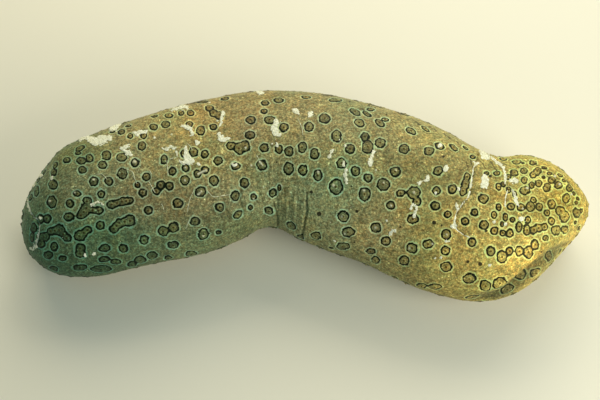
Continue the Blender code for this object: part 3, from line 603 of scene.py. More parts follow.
seen = np.array([p[1] for p in spots])
candidates = rng.permutation(len(flat))[:9000]
taken_c = list(seen)
taken_r = [float(p[6].mean()) for p in spots]
hidden_number = len(SPOTS)
for i in candidates:
    if facing[i] > 0.10 or flat[i, 2] < 13 * MM:
        continue
    end = min(S[i], LENGTH - S[i])
    crowd = 1 - smooth(30 * MM, 75 * MM, end)
    r = (rng.uniform(2.3, 3.5) - 0.7 * crowd) * MM
    gap = (rng.uniform(2.0, 6.5) * (1 - 0.65 * crowd) + 0.6) * MM
    d = np.linalg.norm(np.array(taken_c) - flat[i], axis=1) - np.array(taken_r)
    if d.min() < r + gap:
        continue
    n = flat_n[i]
    e1 = np.cross(n, [0.0, 1.0, 0.0]) if abs(n[1]) < 0.95 else np.cross(n, [1.0, 0.0, 0.0])
    e1 /= np.linalg.norm(e1)
    e2 = np.cross(n, e1)
    k = rng.uniform(0, math.pi)
    u = np.array([[math.cos(k), -math.sin(k)], [math.sin(k), math.cos(k)]])
    spots.append((hidden_number, flat[i], n, e1, e2, u, np.array([r * rng.uniform(1.0, 1.2), r])))
    taken_c.append(flat[i])
    taken_r.append(r)
    if rng.random() < 0.22:                      # now and then two are fused
        way = e1 * math.cos(k) + e2 * math.sin(k)
        r2 = r * rng.uniform(0.7, 1.0)
        c2 = flat[i] + way * (r + r2 * 0.75)
        j = int(np.argmin(((flat - c2) ** 2).sum(1)))
        d = np.linalg.norm(np.array(taken_c[:-1]) - flat[j], axis=1) - np.array(taken_r[:-1])
        if d.min() > r2 + 0.8 * MM and facing[j] < 0.12:
            m = flat_n[j]
            f1 = np.cross(m, e2)
            f1 /= np.linalg.norm(f1)
            spots.append((hidden_number, flat[j], m, f1, np.cross(m, f1), np.eye(2), np.array([r2, r2])))
            taken_c.append(flat[j])
            taken_r.append(r2)
    hidden_number += 1
print("spots", len(spots), "of them by rule", len(spots) - len(seen))

# =====================================================================================
# Fields on the skin
# =====================================================================================
FAR_AWAY = 9.0
spot_d = np.full(len(flat), FAR_AWAY)          # mm, negative inside
spot_c = np.full(len(flat), FAR_AWAY)          # mm from the nearest centre
spot_r = np.full(len(flat), 3.0)               # mm, size of the nearest spot
spot_tone = np.zeros(len(flat))


def near(c, reach):
    return np.nonzero((np.abs(flat - c) < reach).all(axis=1))[0]


def tangent_distance(idx, c, e1, e2, u, sizes):
    d = flat[idx] - c
    q = np.column_stack([d @ e1, d @ e2])
    flat_len = np.maximum(np.linalg.norm(q, axis=1), 1e-9)
    chord = np.linalg.norm(d, axis=1)
    q *= (chord / flat_len)[:, None]
    m = (q @ u) / sizes
    k = np.maximum(np.linalg.norm(m, axis=1), 1e-6)
    return (k - 1) * chord / k / MM, chord / MM


by_group = {}
for spot in spots:
    by_group.setdefault(spot[0], []).append(spot)
for number, members in by_group.items():
    centre = np.mean([m[1] for m in members], axis=0)
    reach = max(np.linalg.norm(m[1] - centre) + m[6].max() for m in members) + 4 * MM
    idx = near(centre, reach)
    if not len(idx):
        continue
    joined = None
    blend = 0.45 if centre[0] > 0.112 else 1.05     # at the head the rings stay apart
    close = np.full(len(idx), FAR_AWAY)
    size = np.full(len(idx), 3.0)
    for m in members:
        d, chord = tangent_distance(idx, *m[1:2], *m[3:7])
        d = np.where((flat_n[idx] @ m[2]) < -0.2, FAR_AWAY, d)
        if joined is None:
            joined = d
        else:
            h = np.clip(0.5 + 0.5 * (joined - d) / blend, 0, 1)
            joined = joined * (1 - h) + d * h - blend * h * (1 - h)
        use = chord < close
        close = np.where(use, chord, close)
        size = np.where(use, m[6].mean() / MM, size)
    tone = _hash(number, 3, 5, 7) * 2 - 1
    better = joined < spot_d[idx]
    spot_d[idx] = np.where(better, joined, spot_d[idx])
    inside = better & (joined < 1.5)
    spot_c[idx] = np.where(inside, close, spot_c[idx])
    spot_r[idx] = np.where(inside, size, spot_r[idx])
    spot_tone[idx] = np.where(inside, tone, spot_tone[idx])

wobble = noise(flat, 1 / (2.3 * MM), 3) * 0.36 + noise(flat, 1 / (1.05 * MM), 9) * 0.36
spot_d = spot_d + wobble * np.clip(spot_r / 3.0, 0.5, 1.2)

dot_d = np.full(len(flat), FAR_AWAY)
for x, y, r in DOTS:
    found = place(x, y, r, r, low=0.3 * MM, high=2 * MM)
    if found is None:
        continue
    idx = near(found[0], 4 * MM)
    if len(idx):
        d, _ = tangent_distance(idx, found[0], found[2], found[3], found[4], found[5])
        dot_d[idx] = np.minimum(dot_d[idx], d)

# creases
groove = np.zeros(len(flat))                    # mm down
# crease: how strongly painted shade darkens the colour along each crease
crease = np.zeros(len(flat))                    # 0 to 1, for the colour
for name, pixels, depth, half in CREASES:
    points = []
    for (x0, y0), (x1, y1) in zip(pixels[:-1], pixels[1:]):
        n = max(2, int(math.hypot(x1 - x0, y1 - y0) / 2))
        points += [(x0 + (x1 - x0) * k / n, y0 + (y1 - y0) * k / n) for k in range(n)]
    points.append(pixels[-1])
    line = [on_body(*p) for p in points]
    line = np.array([p[0] for p in line if p is not None])
    lo, hi = line.min(0) - 10 * MM, line.max(0) + 10 * MM
    idx = np.nonzero(((flat > lo) & (flat < hi)).all(axis=1))[0]
    best = np.full(len(idx), 1.0)
    where = np.zeros(len(idx))
    for k, (a, b) in enumerate(zip(line[:-1], line[1:])):
        ab = b - a
        t = np.clip((flat[idx] - a) @ ab / max(ab @ ab, 1e-12), 0, 1)
        d = np.linalg.norm(flat[idx] - a - t[:, None] * ab, axis=1)
        use = d < best
        best = np.where(use, d, best)
        where = np.where(use, (k + t) / (len(line) - 1), where)
    best = best / MM
    best = best + noise(flat[idx], 1 / (3 * MM), 31) * 0.3
    taper = smooth(0, 0.16, where) * smooth(0, 0.16, 1 - where)
    if name in ("ring crease", "second crease"):
        taper = smooth(-0.3, 0.05, where) * smooth(0, 0.1, 1 - where)
    g = depth * np.exp(-((best / half) ** 2)) * taper
    lips = 0.3 * depth * np.exp(-(((best - 2.6 * half) / (1.4 * half)) ** 2)) * taper
    groove[idx] = np.maximum(groove[idx], g) - 0.5 * lips
    crease[idx] = np.maximum(crease[idx], np.exp(-((best / (half * 0.9)) ** 2)) * taper * min(1.0, depth / 1.2))

# where each point of the skin falls in the picture, for the markings that are drawn there
view = flat - EYE
away = view @ FORWARD
pic = np.column_stack([300 + view @ RIGHT / away * PX, 200 - view @ UP / away * PX])


def stroke_distance(strokes, reach=5.0):
    """Distance in pixels outside the nearest stroke, on the side of the body that is seen."""
    out = np.full(len(flat), 9.0)
    for stroke in strokes:
        p = np.array(stroke, float)
        lo, hi = p[:, :2].min(0) - reach - p[:, 2].max(), p[:, :2].max(0) + reach + p[:, 2].max()
        idx = np.nonzero((facing > 0.04) & ((pic > lo) & (pic < hi)).all(axis=1))[0]
        if not len(idx):
            continue
        q = pic[idx]
        best = np.hypot(*(q - p[0, :2]).T) - p[0, 2]
        for a, b in zip(p[:-1], p[1:]):
            ab = b[:2] - a[:2]
            t = np.clip((q - a[:2]) @ ab / (ab @ ab), 0, 1)
            d = np.hypot(*(q - a[:2] - t[:, None] * ab).T) - (a[2] + (b[2] - a[2]) * t)
            best = np.minimum(best, d)
        out[idx] = np.minimum(out[idx], best)
    return out


# stuck sand as a pale film under the grains
ragged = noise(flat, 1 / (1.9 * MM), 51) * 1.2 + noise(flat, 1 / (0.95 * MM), 52) * 1.0
sand = 1 - smooth(-0.35, 0.3, stroke_distance(SAND) + ragged)
sand = np.maximum(sand, 1 - smooth(-0.3, 0.4, stroke_distance(SAND_LINES) + 0.2 + 0.5 * ragged))
fleck = 1 - smooth(-0.25, 0.45, stroke_distance(FLECKS) + 0.3 * ragged)
dark_streak_and_wrinkle_shade = 1 - smooth(-0.3, 0.4, stroke_distance(STREAKS) + 0.4 * ragged)

# the ridge of the head's near flank: pixels below it, and how far along it
ridge_d = np.full(len(flat), -40.0)
ridge_t = np.zeros(len(flat))
ridge_best = np.full(len(flat), 1e3)
for k, (a, b) in enumerate(zip(RIDGE[:-1], RIDGE[1:])):
    a, b = np.array(a, float), np.array(b, float)
    ab = b - a
    t = np.clip((pic - a) @ ab / (ab @ ab), 0, 1)
    off = pic - a - t[:, None] * ab
    d = np.hypot(*off.T)
    use = d < ridge_best
    below = np.sign(ab[1] * (pic[:, 0] - a[0]) - ab[0] * (pic[:, 1] - a[1]))
    ridge_best = np.where(use, d, ridge_best)
    ridge_d = np.where(use, d * below, ridge_d)
    ridge_t = np.where(use, (k + t) / (len(RIDGE) - 1), ridge_t)
ridge_on = smooth(-0.05, 0.2, facing) * smooth(0.0, 0.12, ridge_t) * smooth(0.0, 0.25, 1 - ridge_t)
ridge_d = ridge_d + noise(flat, 1 / (9 * MM), 61, 2) * 1.6
ridge_up = np.exp(-(((ridge_d + 3.0) / 4.2) ** 2)) * ridge_on
ridge_down = np.exp(-(((ridge_d - 5.0) / 4.2) ** 2)) * ridge_on
# painted shade below the ridge, where the flank turns under away from the light
ridge_shade = smooth(-3.5, 5.0, ridge_d) * (1 - smooth(8.0, 16.0, ridge_d)) * ridge_on

# soft patches of tone, partly the skin's own and partly painted light and painted shade
painted_light_and_tone = np.ones((len(flat), 3))
for x, y, rx, ry, tilt, factors in TONE_AND_PAINTED_LIGHT_PATCHES:
    k = math.radians(tilt)
    dx, dy = pic[:, 0] - x, pic[:, 1] - y
    u = (dx * math.cos(k) + dy * math.sin(k)) / rx
    v = (-dx * math.sin(k) + dy * math.cos(k)) / ry
    w = np.exp(-(u * u + v * v)) * smooth(-0.25, 0.25, facing)
    painted_light_and_tone *= 1 + (np.array(factors) - 1) * w[:, None]
# painted shade below the head's ridge
painted_light_and_tone *= 1 - np.array([0.58, 0.55, 0.46]) * ridge_shade[:, None]

# where on the body
up = flat_n[:, 2]
under = 1 - smooth(2.5 * MM, 11 * MM, flat[:, 2])
under = np.where(up < 0.2, under, 0)
bend = np.exp(-(((S - arc_at_x(-16 * MM)) / (48 * MM)) ** 2))
near_side = smooth(0.0, 1.0, (0.47 - T) / 0.2) * (T < 0.47)
head_side = smooth(LENGTH - 46 * MM, LENGTH - 16 * MM, S) * smooth(0.40, 0.52, T) * smooth(0.86, 0.74, T)
tail_pole = base[0].mean(axis=0)
head_pole = base[-1].mean(axis=0)
d_tail = np.linalg.norm(flat - tail_pole, axis=1)

# =====================================================================================
# Shape of the skin
# =====================================================================================
st = np.column_stack([S, T * 0.22, np.zeros(len(S))])
lumps = noise(flat, 1 / (34 * MM), 1, 2) * 0.75
swell = noise(flat, 1 / (13 * MM), 2, 2) * 0.28
rings = noise(st * np.array([1 / (5.2 * MM), 1 / (60 * MM), 1.0]), 1.0, 5, 2)
rings_fine = noise(st * np.array([1 / (1.9 * MM), 1 / (22 * MM), 1.0]), 1.0, 6, 2)
grain = noise(flat, 1 / (1.5 * MM), 7, 2) * 0.055
fold_mask = bend * near_side
height_mm = (
    lumps
    + swell
    + rings * (0.12 + 0.46 * fold_mask)
    + rings_fine * (0.07 + 0.26 * fold_mask + 0.30 * head_side)
    + grain
    + noise(flat, 1 / (3.2 * MM), 8, 2) * (0.06 + 0.42 * head_side)
)
# each spot is a faint pad with a small papilla at its middle and a fine groove along its ring
pad = 0.16 * (1 - smooth(-1.2, 0.3, spot_d))
papilla = 0.55 * np.exp(-((spot_c / 0.62) ** 2)) * np.clip(spot_r / 3.0, 0.4, 1.2)
ring_groove = -0.12 * np.exp(-((spot_d / 0.45) ** 2))
height_mm += (pad + papilla + ring_groove) * (1 - under)
# scattered tiny papillae
pimple = noise(flat, 1 / (1.15 * MM), 15)
height_mm += 0.22 * smooth(0.62, 0.85, pimple) * (1 - under) * (spot_d > 0.8)
height_mm -= groove
height_mm += 0.35 * sand + 0.2 * fleck
height_mm += 1.3 * ridge_up - 2.4 * ridge_down
# the vent at the tail end: a shallow dimple with radiating puckers
angle = np.arctan2(flat[:, 2] - tail_pole[2], (flat[:, 1] - tail_pole[1]))
height_mm -= 2.4 * np.exp(-((d_tail / (3.6 * MM)) ** 2))
height_mm += 0.5 * np.cos(angle * 10 + 3 * noise(flat, 1 / (9 * MM), 19)) * np.exp(-(((d_tail - 6 * MM) / (4.5 * MM)) ** 2))
height_mm += 0.35 * np.exp(-(((d_tail - 7.5 * MM) / (3 * MM)) ** 2))
# the sole keeps its level: only fine texture there
calm = smooth(0.0 * MM, 6 * MM, flat[:, 2])
height_mm = height_mm * (0.06 + 0.94 * calm)
shape = flat + flat_n * (height_mm * MM)[:, None]

# the mouth, a shallow round recess in the sole
mouth_t, axis_point, _, mouth_across = frame_at(arc_at_x(MOUTH_X))
mouth = axis_point + mouth_across * SOLE * (far_width(mouth_t) - near_width(mouth_t)) / 2
r_mouth = np.hypot(flat[:, 0] - mouth[0], flat[:, 1] - mouth[1])
in_sole = (flat[:, 2] < 6 * MM) & (flat_n[:, 2] < 0)
rim_angle = np.arctan2(flat[:, 1] - mouth[1], flat[:, 0] - mouth[0])
r_rim = MOUTH_RADIUS * (1 + 0.03 * np.cos(rim_angle * 9 + 1))
q = np.clip(r_mouth / r_rim, 0, 1)
recess = MOUTH_DEPTH * np.sqrt(np.maximum(0, 1 - q**2.6)) * in_sole
shape[:, 2] += recess
shape[:, 2] = np.maximum(shape[:, 2], 0.25 * MM)


def new_mesh(name, verts, faces):
    mesh = bpy.data.meshes.new(name)
    mesh.from_pydata([], [], [])
    mesh.vertices.add(len(verts))
    mesh.vertices.foreach_set("co", np.asarray(verts, np.float32).ravel())
    sizes = np.array([len(f) for f in faces]) if not isinstance(faces, np.ndarray) else np.full(len(faces), faces.shape[1])
    loops = np.concatenate([np.asarray(f) for f in faces]) if not isinstance(faces, np.ndarray) else faces.ravel()
    mesh.loops.add(len(loops))
    mesh.loops.foreach_set("vertex_index", loops.astype(np.int32))
    mesh.polygons.add(len(sizes))
    starts = np.concatenate([[0], np.cumsum(sizes)[:-1]])
    mesh.polygons.foreach_set("loop_start", starts.astype(np.int32))
    mesh.polygons.foreach_set("loop_total", sizes.astype(np.int32))
    mesh.update(calc_edges=True)
    mesh.validate()
    return mesh


i, j = np.meshgrid(np.arange(NU - 1), np.arange(NV), indexing="ij")
i, j = i.ravel(), j.ravel()
j2 = (j + 1) % NV
quads = np.column_stack([i * NV + j, i * NV + j2, (i + 1) * NV + j2, (i + 1) * NV + j])
a, b, c = shape[quads[len(quads) // 2, 0]], shape[quads[len(quads) // 2, 1]], shape[quads[len(quads) // 2, 2]]
if np.cross(b - a, c - a) @ flat_n[quads[len(quads) // 2, 0]] < 0:
    quads = quads[:, ::-1]
    flipped = True
else:
    flipped = False
tail_v, head_v = len(shape), len(shape) + 1
pole_t = shape[:NV].mean(axis=0)
pole_h = shape[-NV:].mean(axis=0)
verts = np.vstack([shape, pole_t, pole_h])
jj = np.arange(NV)
fan_t = np.column_stack([np.full(NV, tail_v), (jj + 1) % NV, jj])
fan_h = np.column_stack([np.full(NV, head_v), (NU - 1) * NV + jj, (NU - 1) * NV + (jj + 1) % NV])
if flipped:
    fan_t, fan_h = fan_t[:, ::-1], fan_h[:, ::-1]
faces = [*quads, *fan_t, *fan_h]
skin_mesh = new_mesh("skin", verts, faces)
skin = bpy.data.objects.new("skin", skin_mesh)
bpy.context.collection.objects.link(skin)
skin_mesh.polygons.foreach_set("use_smooth", np.ones(len(skin_mesh.polygons), bool))

# unwrap: along the body by round it, with the seam down the middle of the sole
uv = skin_mesh.uv_layers.new(name="OFBake")
loop_vert = np.empty(len(skin_mesh.loops), np.int32)
skin_mesh.loops.foreach_get("vertex_index", loop_vert)
loop_total = np.empty(len(skin_mesh.polygons), np.int32)
skin_mesh.polygons.foreach_get("loop_total", loop_total)
loop_poly = np.repeat(np.arange(len(skin_mesh.polygons)), loop_total)
U = np.concatenate([S / LENGTH, [0.0, 1.0]])
V = np.concatenate([T, [0.5, 0.5]])
lu, lv = U[loop_vert], V[loop_vert]
top_v = np.zeros(len(skin_mesh.polygons))
np.maximum.at(top_v, loop_poly, np.where(loop_vert < tail_v, lv, 0))
wrap = (top_v[loop_poly] > 0.9) & (lv < 0.1)
lv = np.where(wrap, 1.0, lv)
pole_loop = loop_vert >= tail_v
mean_v = np.zeros(len(skin_mesh.polygons))
np.add.at(mean_v, loop_poly, np.where(pole_loop, 0, lv))
lv = np.where(pole_loop, mean_v[loop_poly] / 2, lv)
uv.data.foreach_set("uv", np.column_stack([0.004 + 0.992 * lu, 0.004 + 0.992 * lv]).astype(np.float32).ravel())


def attribute(mesh, name, values, kind="FLOAT"):
    layer = mesh.attributes.new(name=name, type=kind, domain="POINT")
    layer.data.foreach_set("value" if kind == "FLOAT" else "vector", np.asarray(values, np.float32).ravel())


def with_poles(values, t=0.0, h=0.0):
    return np.concatenate([values, [t, h]])


attribute(skin_mesh, "spot_d", with_poles(np.clip(spot_d, -6, 6), 6, 6))
attribute(skin_mesh, "spot_c", with_poles(np.clip(spot_c, 0, 9), 9, 9))
attribute(skin_mesh, "spot_tone", with_poles(spot_tone))
attribute(skin_mesh, "dot_d", with_poles(np.clip(dot_d, -3, 3), 3, 3))
attribute(skin_mesh, "crease", with_poles(np.clip(crease, 0, 1), 0.8, 0))
attribute(skin_mesh, "sand", with_poles(np.clip(sand, 0, 1)))
attribute(skin_mesh, "fleck", with_poles(np.clip(fleck, 0, 1)))
attribute(skin_mesh, "dark_streak_and_wrinkle_shade", with_poles(np.clip(dark_streak_and_wrinkle_shade, 0, 1)))
attribute(skin_mesh, "painted_light_and_tone", np.vstack([painted_light_and_tone, [1, 1, 1], [1, 1, 1]]), "FLOAT_VECTOR")
attribute(skin_mesh, "sole", with_poles(np.clip(under, 0, 1)))
attribute(skin_mesh, "folds", with_poles(np.clip(fold_mask, 0, 1)))
attribute(skin_mesh, "along", with_poles(S / LENGTH, 0, 1))
attribute(skin_mesh, "round_co", np.vstack([np.column_stack([S * 1000, T * 220, np.zeros(len(S))]), [0, 0, 0], [0, 0, 0]]), "FLOAT_VECTOR")


# =====================================================================================
# Materials
# =====================================================================================
def lin(r, g, b):
    return tuple(((v / 255) / 12.92 if v <= 10 else ((v / 255 + 0.055) / 1.055) ** 2.4) for v in (r, g, b)) + (1.0,)


class Nodes:
    def __init__(self, name):
        self.material = bpy.data.materials.new(name)
        self.material.use_nodes = True
        self.tree = self.material.node_tree
        self.shader = self.tree.nodes["Principled BSDF"]

    def add(self, kind, **settings):
        node = self.tree.nodes.new(kind)
        for key, value in settings.items():
            setattr(node, key, value)
        return node

    def link(self, a, b):
        self.tree.links.new(a, b)

    def put(self, socket, value):
        if isinstance(value, (int, float)):
            socket.default_value = value
        elif isinstance(value, tuple):
            socket.default_value = value
        else:
            self.link(value, socket)

    def attr(self, name):
        return self.add("ShaderNodeAttribute", attribute_name=name).outputs["Fac"]

    def attr_vector(self, name):
        return self.add("ShaderNodeAttribute", attribute_name=name).outputs["Vector"]

    def math(self, op, a, b=0.0, c=None, clamp=False):
        node = self.add("ShaderNodeMath", operation=op, use_clamp=clamp)
        self.put(node.inputs[0], a)
        self.put(node.inputs[1], b)
        if c is not None:
            self.put(node.inputs[2], c)
        return node.outputs[0]

    def span(self, value, lo, hi, a=0.0, b=1.0, smoothly=True):
        node = self.add("ShaderNodeMapRange", interpolation_type="SMOOTHSTEP" if smoothly else "LINEAR", clamp=True)
        self.put(node.inputs["Value"], value)
        node.inputs["From Min"].default_value = lo
        node.inputs["From Max"].default_value = hi
        node.inputs["To Min"].default_value = a
        node.inputs["To Max"].default_value = b
        return node.outputs["Result"]

    def mix(self, factor, a, b, blend="MIX"):
        node = self.add("ShaderNodeMix", data_type="RGBA", blend_type=blend, clamp_factor=True)
        self.put(node.inputs[0], factor)
        self.put(node.inputs[6], a)
        self.put(node.inputs[7], b)
        return node.outputs[2]

    def times(self, colour, factors):
        """The colour with each channel multiplied, which may be by more than one."""
        node = self.add("ShaderNodeVectorMath", operation="MULTIPLY")
        self.link(colour, node.inputs[0])
        node.inputs[1].default_value = factors
        return node.outputs[0]

    def noise(self, vector, scale, detail=3.0, rough=0.55):
        node = self.add("ShaderNodeTexNoise")
        if vector is not None:
            self.link(vector, node.inputs["Vector"])
        node.inputs["Scale"].default_value = scale
        node.inputs["Detail"].default_value = detail
        node.inputs["Roughness"].default_value = rough
        return node.outputs["Fac"]

    def voronoi(self, vector, scale, randomness=1.0, feature="F1"):
        node = self.add("ShaderNodeTexVoronoi", feature=feature)
        if vector is not None:
            self.link(vector, node.inputs["Vector"])
        node.inputs["Scale"].default_value = scale
        node.inputs["Randomness"].default_value = randomness
        return node

    def scaled(self, vector, factors):
        node = self.add("ShaderNodeVectorMath", operation="MULTIPLY")
        self.link(vector, node.inputs[0])
        node.inputs[1].default_value = factors
        return node.outputs[0]


def skin_material():
    n = Nodes("sea_cucumber_skin")
    co = n.add("ShaderNodeTexCoord").outputs["Object"]
    rc = n.attr_vector("round_co")
    along = n.attr("along")
    sd, sc, tone = n.attr("spot_d"), n.attr("spot_c"), n.attr("spot_tone")

    # ground colour, greyer green at the tail, brown in the middle, yellow ochre at the head: partly the skin's own
    # colour and partly painted light, darker and cooler towards the tail and brighter and warmer towards the head
    ramp = n.add("ShaderNodeValToRGB")
    n.link(along, ramp.inputs["Fac"])
    els = ramp.color_ramp.elements
    els[0].position, els[0].color = 0.0, lin(112, 124, 92)
    els[1].position, els[1].color = 1.0, lin(196, 174, 92)
    for pos, col in ((0.22, lin(128, 126, 92)), (0.42, lin(140, 132, 92)), (0.58, lin(142, 134, 92)),
                     (0.74, lin(146, 134, 84)), (0.85, lin(166, 148, 82))):
        e = els.new(pos)
        e.color = col
    # the ground colour times the patches of tone, painted light and painted shade
    ground = n.mix(1.0, ramp.outputs["Color"], n.attr_vector("painted_light_and_tone"), "MULTIPLY")
    # broad clouds of greener and browner skin, then mottling a few millimetres across
    cloud = n.noise(co, 26, 3, 0.5)
    ground = n.mix(n.span(cloud, 0.45, 0.68, 0, 0.8), ground, n.times(ground, (0.84, 0.98, 1.0)))
    cloud2 = n.noise(n.scaled(co, (1.3, 1.0, 0.8)), 44, 3, 0.55)
    ground = n.mix(n.span(cloud2, 0.48, 0.68, 0, 0.8), ground, n.times(ground, (1.12, 1.0, 0.86)))
    mottle = n.noise(co, 170, 3, 0.6)
    ground = n.mix(n.span(mottle, 0.50, 0.70, 0, 1.0), ground, n.times(ground, (0.76, 0.75, 0.74)))
    ground = n.mix(n.span(mottle, 0.50, 0.32, 0, 1.0), ground, n.times(ground, (1.30, 1.28, 1.26)))
    # fine streaks that run round the body, strongest in the bend
    streak = n.noise(n.scaled(rc, (0.95, 0.075, 1.0)), 1.0, 3, 0.62)
    streak_amount = n.math("MULTIPLY_ADD", n.attr("folds"), 0.80, 0.20)
    dark_streak = n.math("MULTIPLY", n.span(streak, 0.52, 0.66), streak_amount)
    ground = n.mix(dark_streak, ground, n.times(ground, (0.74, 0.73, 0.72)))
    pale_streak = n.math("MULTIPLY", n.span(streak, 0.47, 0.32), streak_amount)
    ground = n.mix(pale_streak, ground, n.times(ground, (1.22, 1.2, 1.24)))
    # browner and greener flecks about a millimetre across
    hue = n.noise(co, 560, 1, 0.5)
    ground = n.mix(n.span(hue, 0.50, 0.62), ground, n.times(ground, (1.09, 1.0, 0.94)))
    ground = n.mix(n.span(hue, 0.50, 0.38), ground, n.times(ground, (0.90, 1.01, 1.04)))
    plain = ground
    # fine grain of two sizes
    for scale, dark, pale in ((620, (0.60, 0.59, 0.56), (1.42, 1.41, 1.38)), (1150, (0.70, 0.70, 0.68), (1.34, 1.35, 1.36))):
        fine_grain = n.noise(co, scale, 2, 0.65)
        ground = n.mix(n.span(fine_grain, 0.49, 0.64, 0.0, 1.0), ground, n.times(ground, dark))
        ground = n.mix(n.span(fine_grain, 0.50, 0.36, 0.0, 1.0), ground, n.times(ground, pale))
    # scattered pale specks of two sizes, thicker in patches
    patch = n.span(n.noise(co, 34, 2, 0.5), 0.36, 0.60, 0.35, 1.0)
    for scale, size, chance, strength in ((400, 0.20, 0.48, 0.85), (760, 0.26, 0.52, 0.75)):
        speck = n.span(n.voronoi(co, scale).outputs["Distance"], size * 1.35, size * 0.7)
        keep = n.span(n.noise(co, scale * 0.62, 0, 0.5), chance - 0.04, chance + 0.05)
        speck = n.math("MULTIPLY", n.math("MULTIPLY", speck, keep), patch)
        ground = n.mix(n.math("MULTIPLY", speck, strength), ground, n.times(ground, (2.3, 2.45, 2.7)))

    # sole: paler, greyer, with tiny brown dots
    sole = n.attr("sole")
    sole_dot = n.span(n.voronoi(co, 520).outputs["Distance"], 0.26, 0.14)
    sole_colour = n.mix(n.math("MULTIPLY", sole_dot, 0.5), lin(170, 158, 122), lin(96, 80, 52))
    ground = n.mix(n.math("MULTIPLY", sole, 0.85), ground, sole_colour)

    # ringed spots: a thin near-black ring, a pale line outside it, and a centre close to the ground colour
    fray = n.math("MULTIPLY", n.math("SUBTRACT", n.noise(co, 1300, 2, 0.5), 0.5), 0.55)
    d = n.math("ADD", sd, fray)
    dc = n.math("ADD", sc, n.math("MULTIPLY", n.math("SUBTRACT", n.noise(co, 900, 1, 0.5), 0.5), 0.6))
    halo = n.math("MULTIPLY", n.span(d, 0.20, 0.40), n.span(d, 1.25, 0.80))
    halo = n.math("MULTIPLY", halo, n.span(n.noise(co, 420, 1, 0.5), 0.30, 0.56, 0.62, 1.0))
    halo_colour = n.times(plain, (1.66, 2.25, 2.85))
    fill = n.mix(n.span(along, 0.40, 0.88), n.times(ground, (0.66, 0.71, 0.66)), n.times(ground, (0.86, 0.90, 0.94)))
    fill = n.mix(n.span(tone, 0.1, 1.0, 0.0, 1.0), fill, n.times(fill, (0.80, 0.82, 0.86)))
    fill = n.mix(n.span(tone, -0.1, -1.0, 0.0, 1.0), fill, n.times(fill, (1.22, 1.20, 1.14)))
    fill = n.mix(n.span(d, -1.25, -0.75), fill, n.times(fill, (0.74, 0.72, 0.66)))
    inner_ring = n.math("MULTIPLY", n.span(dc, 1.30, 1.55), n.span(dc, 2.05, 1.75))
    fill = n.mix(n.math("MULTIPLY", inner_ring, 0.6), fill, n.times(fill, (0.70, 0.70, 0.68)))
    pale_ring = n.math("MULTIPLY", n.span(dc, 0.75, 0.95), n.span(dc, 1.45, 1.15))
    fill = n.mix(n.math("MULTIPLY", pale_ring, 0.75), fill, n.times(fill, (1.32, 1.27, 1.20)))
    core = n.span(dc, 0.95, 0.62)
    fill = n.mix(n.math("MULTIPLY", core, 0.9), fill, n.times(plain, (0.46, 0.36, 0.20)))
    heart = n.span(dc, 0.58, 0.34)
    fill = n.mix(n.math("MULTIPLY", heart, 0.9), fill, n.times(plain, (0.14, 0.12, 0.07)))
    colour = n.mix(n.math("MULTIPLY", halo, n.math("MULTIPLY_ADD", sole, -1.0, 1.0)), ground, halo_colour)
    inside = n.span(d, -0.10, -0.40)
    colour = n.mix(inside, colour, fill)
    line = n.math("MULTIPLY", n.span(d, -0.96, -0.70), n.span(d, 0.26, 0.10))
    colour = n.mix(n.math("MULTIPLY", line, n.span(along, 0.78, 0.92, 1.0, 0.84)), colour, lin(4, 20, 4))
    dot = n.span(n.math("ADD", n.attr("dot_d"), fray), 0.25, -0.1)
    colour = n.mix(n.math("MULTIPLY", dot, 0.94), colour, lin(30, 27, 17))
    # dark streaks, and painted shade along the head's short wrinkles
    colour = n.mix(n.math("MULTIPLY", n.attr("dark_streak_and_wrinkle_shade"), 0.75), colour, lin(48, 44, 26))

    # painted shade darkens the creases; the stuck sand is pale
    colour = n.mix(n.math("MULTIPLY", n.attr("crease"), 0.60), colour, n.times(colour, (0.42, 0.42, 0.40)))
    sand_v = n.attr("sand")
    sand_colour = n.mix(n.span(n.noise(co, 1500, 2, 0.6), 0.35, 0.65), lin(222, 224, 196), lin(252, 252, 238))
    edge = n.math("MULTIPLY", n.math("SUBTRACT", n.noise(co, 800, 2, 0.6), 0.5), 0.7)
    sand_mask = n.span(n.math("ADD", sand_v, edge), 0.38, 0.62)
    colour = n.mix(sand_mask, colour, sand_colour)
    colour = n.mix(n.math("MULTIPLY", n.attr("fleck"), 0.80), colour, lin(226, 224, 196))
    n.link(colour, n.shader.inputs["Base Color"])

    rough = n.math("MULTIPLY_ADD", n.noise(co, 300, 2, 0.5), 0.22, 0.42)
    rough = n.math("ADD", rough, n.math("MULTIPLY", sand_mask, 0.3), clamp=True)
    n.link(rough, n.shader.inputs["Roughness"])
    n.shader.inputs["Specular IOR Level"].default_value = 0.18
    n.shader.inputs["IOR"].default_value = 1.4

    bump_h = n.math("MULTIPLY_ADD", n.noise(co, 1100, 3, 0.6), 0.6, n.math("MULTIPLY", n.span(n.voronoi(co, 700).outputs["Distance"], 0.5, 0.0), 0.5))
    bump_h = n.math("MULTIPLY_ADD", n.noise(n.scaled(rc, (2.2, 0.35, 1.0)), 1.0, 2, 0.6), 0.5, bump_h)
    bump = n.add("ShaderNodeBump")
    bump.inputs["Strength"].default_value = 0.35
    bump.inputs["Distance"].default_value = 0.0004
    n.link(bump_h, bump.inputs["Height"])
    n.link(bump.outputs["Normal"], n.shader.inputs["Normal"])
    return n.material


skin_mesh.materials.append(skin_material())
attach(skin, "root")
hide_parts("tail_end", "trunk_rear", "trunk_mid", "trunk_front", "head_end")

# =====================================================================================
# Stuck grains and threads
# =====================================================================================
depsgraph = bpy.context.evaluated_depsgraph_get()
skin_tree = BVHTree.FromObject(skin, depsgraph)


def on_skin(px, py):
    hit, normal, _, _ = skin_tree.ray_cast(Vector(EYE), Vector(ray(px, py)))
    if hit is None:
        return None
    return np.array(hit), np.array(normal)


ico = bmesh.new()
bmesh.ops.create_icosphere(ico, subdivisions=1, radius=1.0)
ico_v = np.array([v.co[:] for v in ico.verts])
ico_f = np.array([[v.index for v in f.verts] for f in ico.faces])
ico.free()


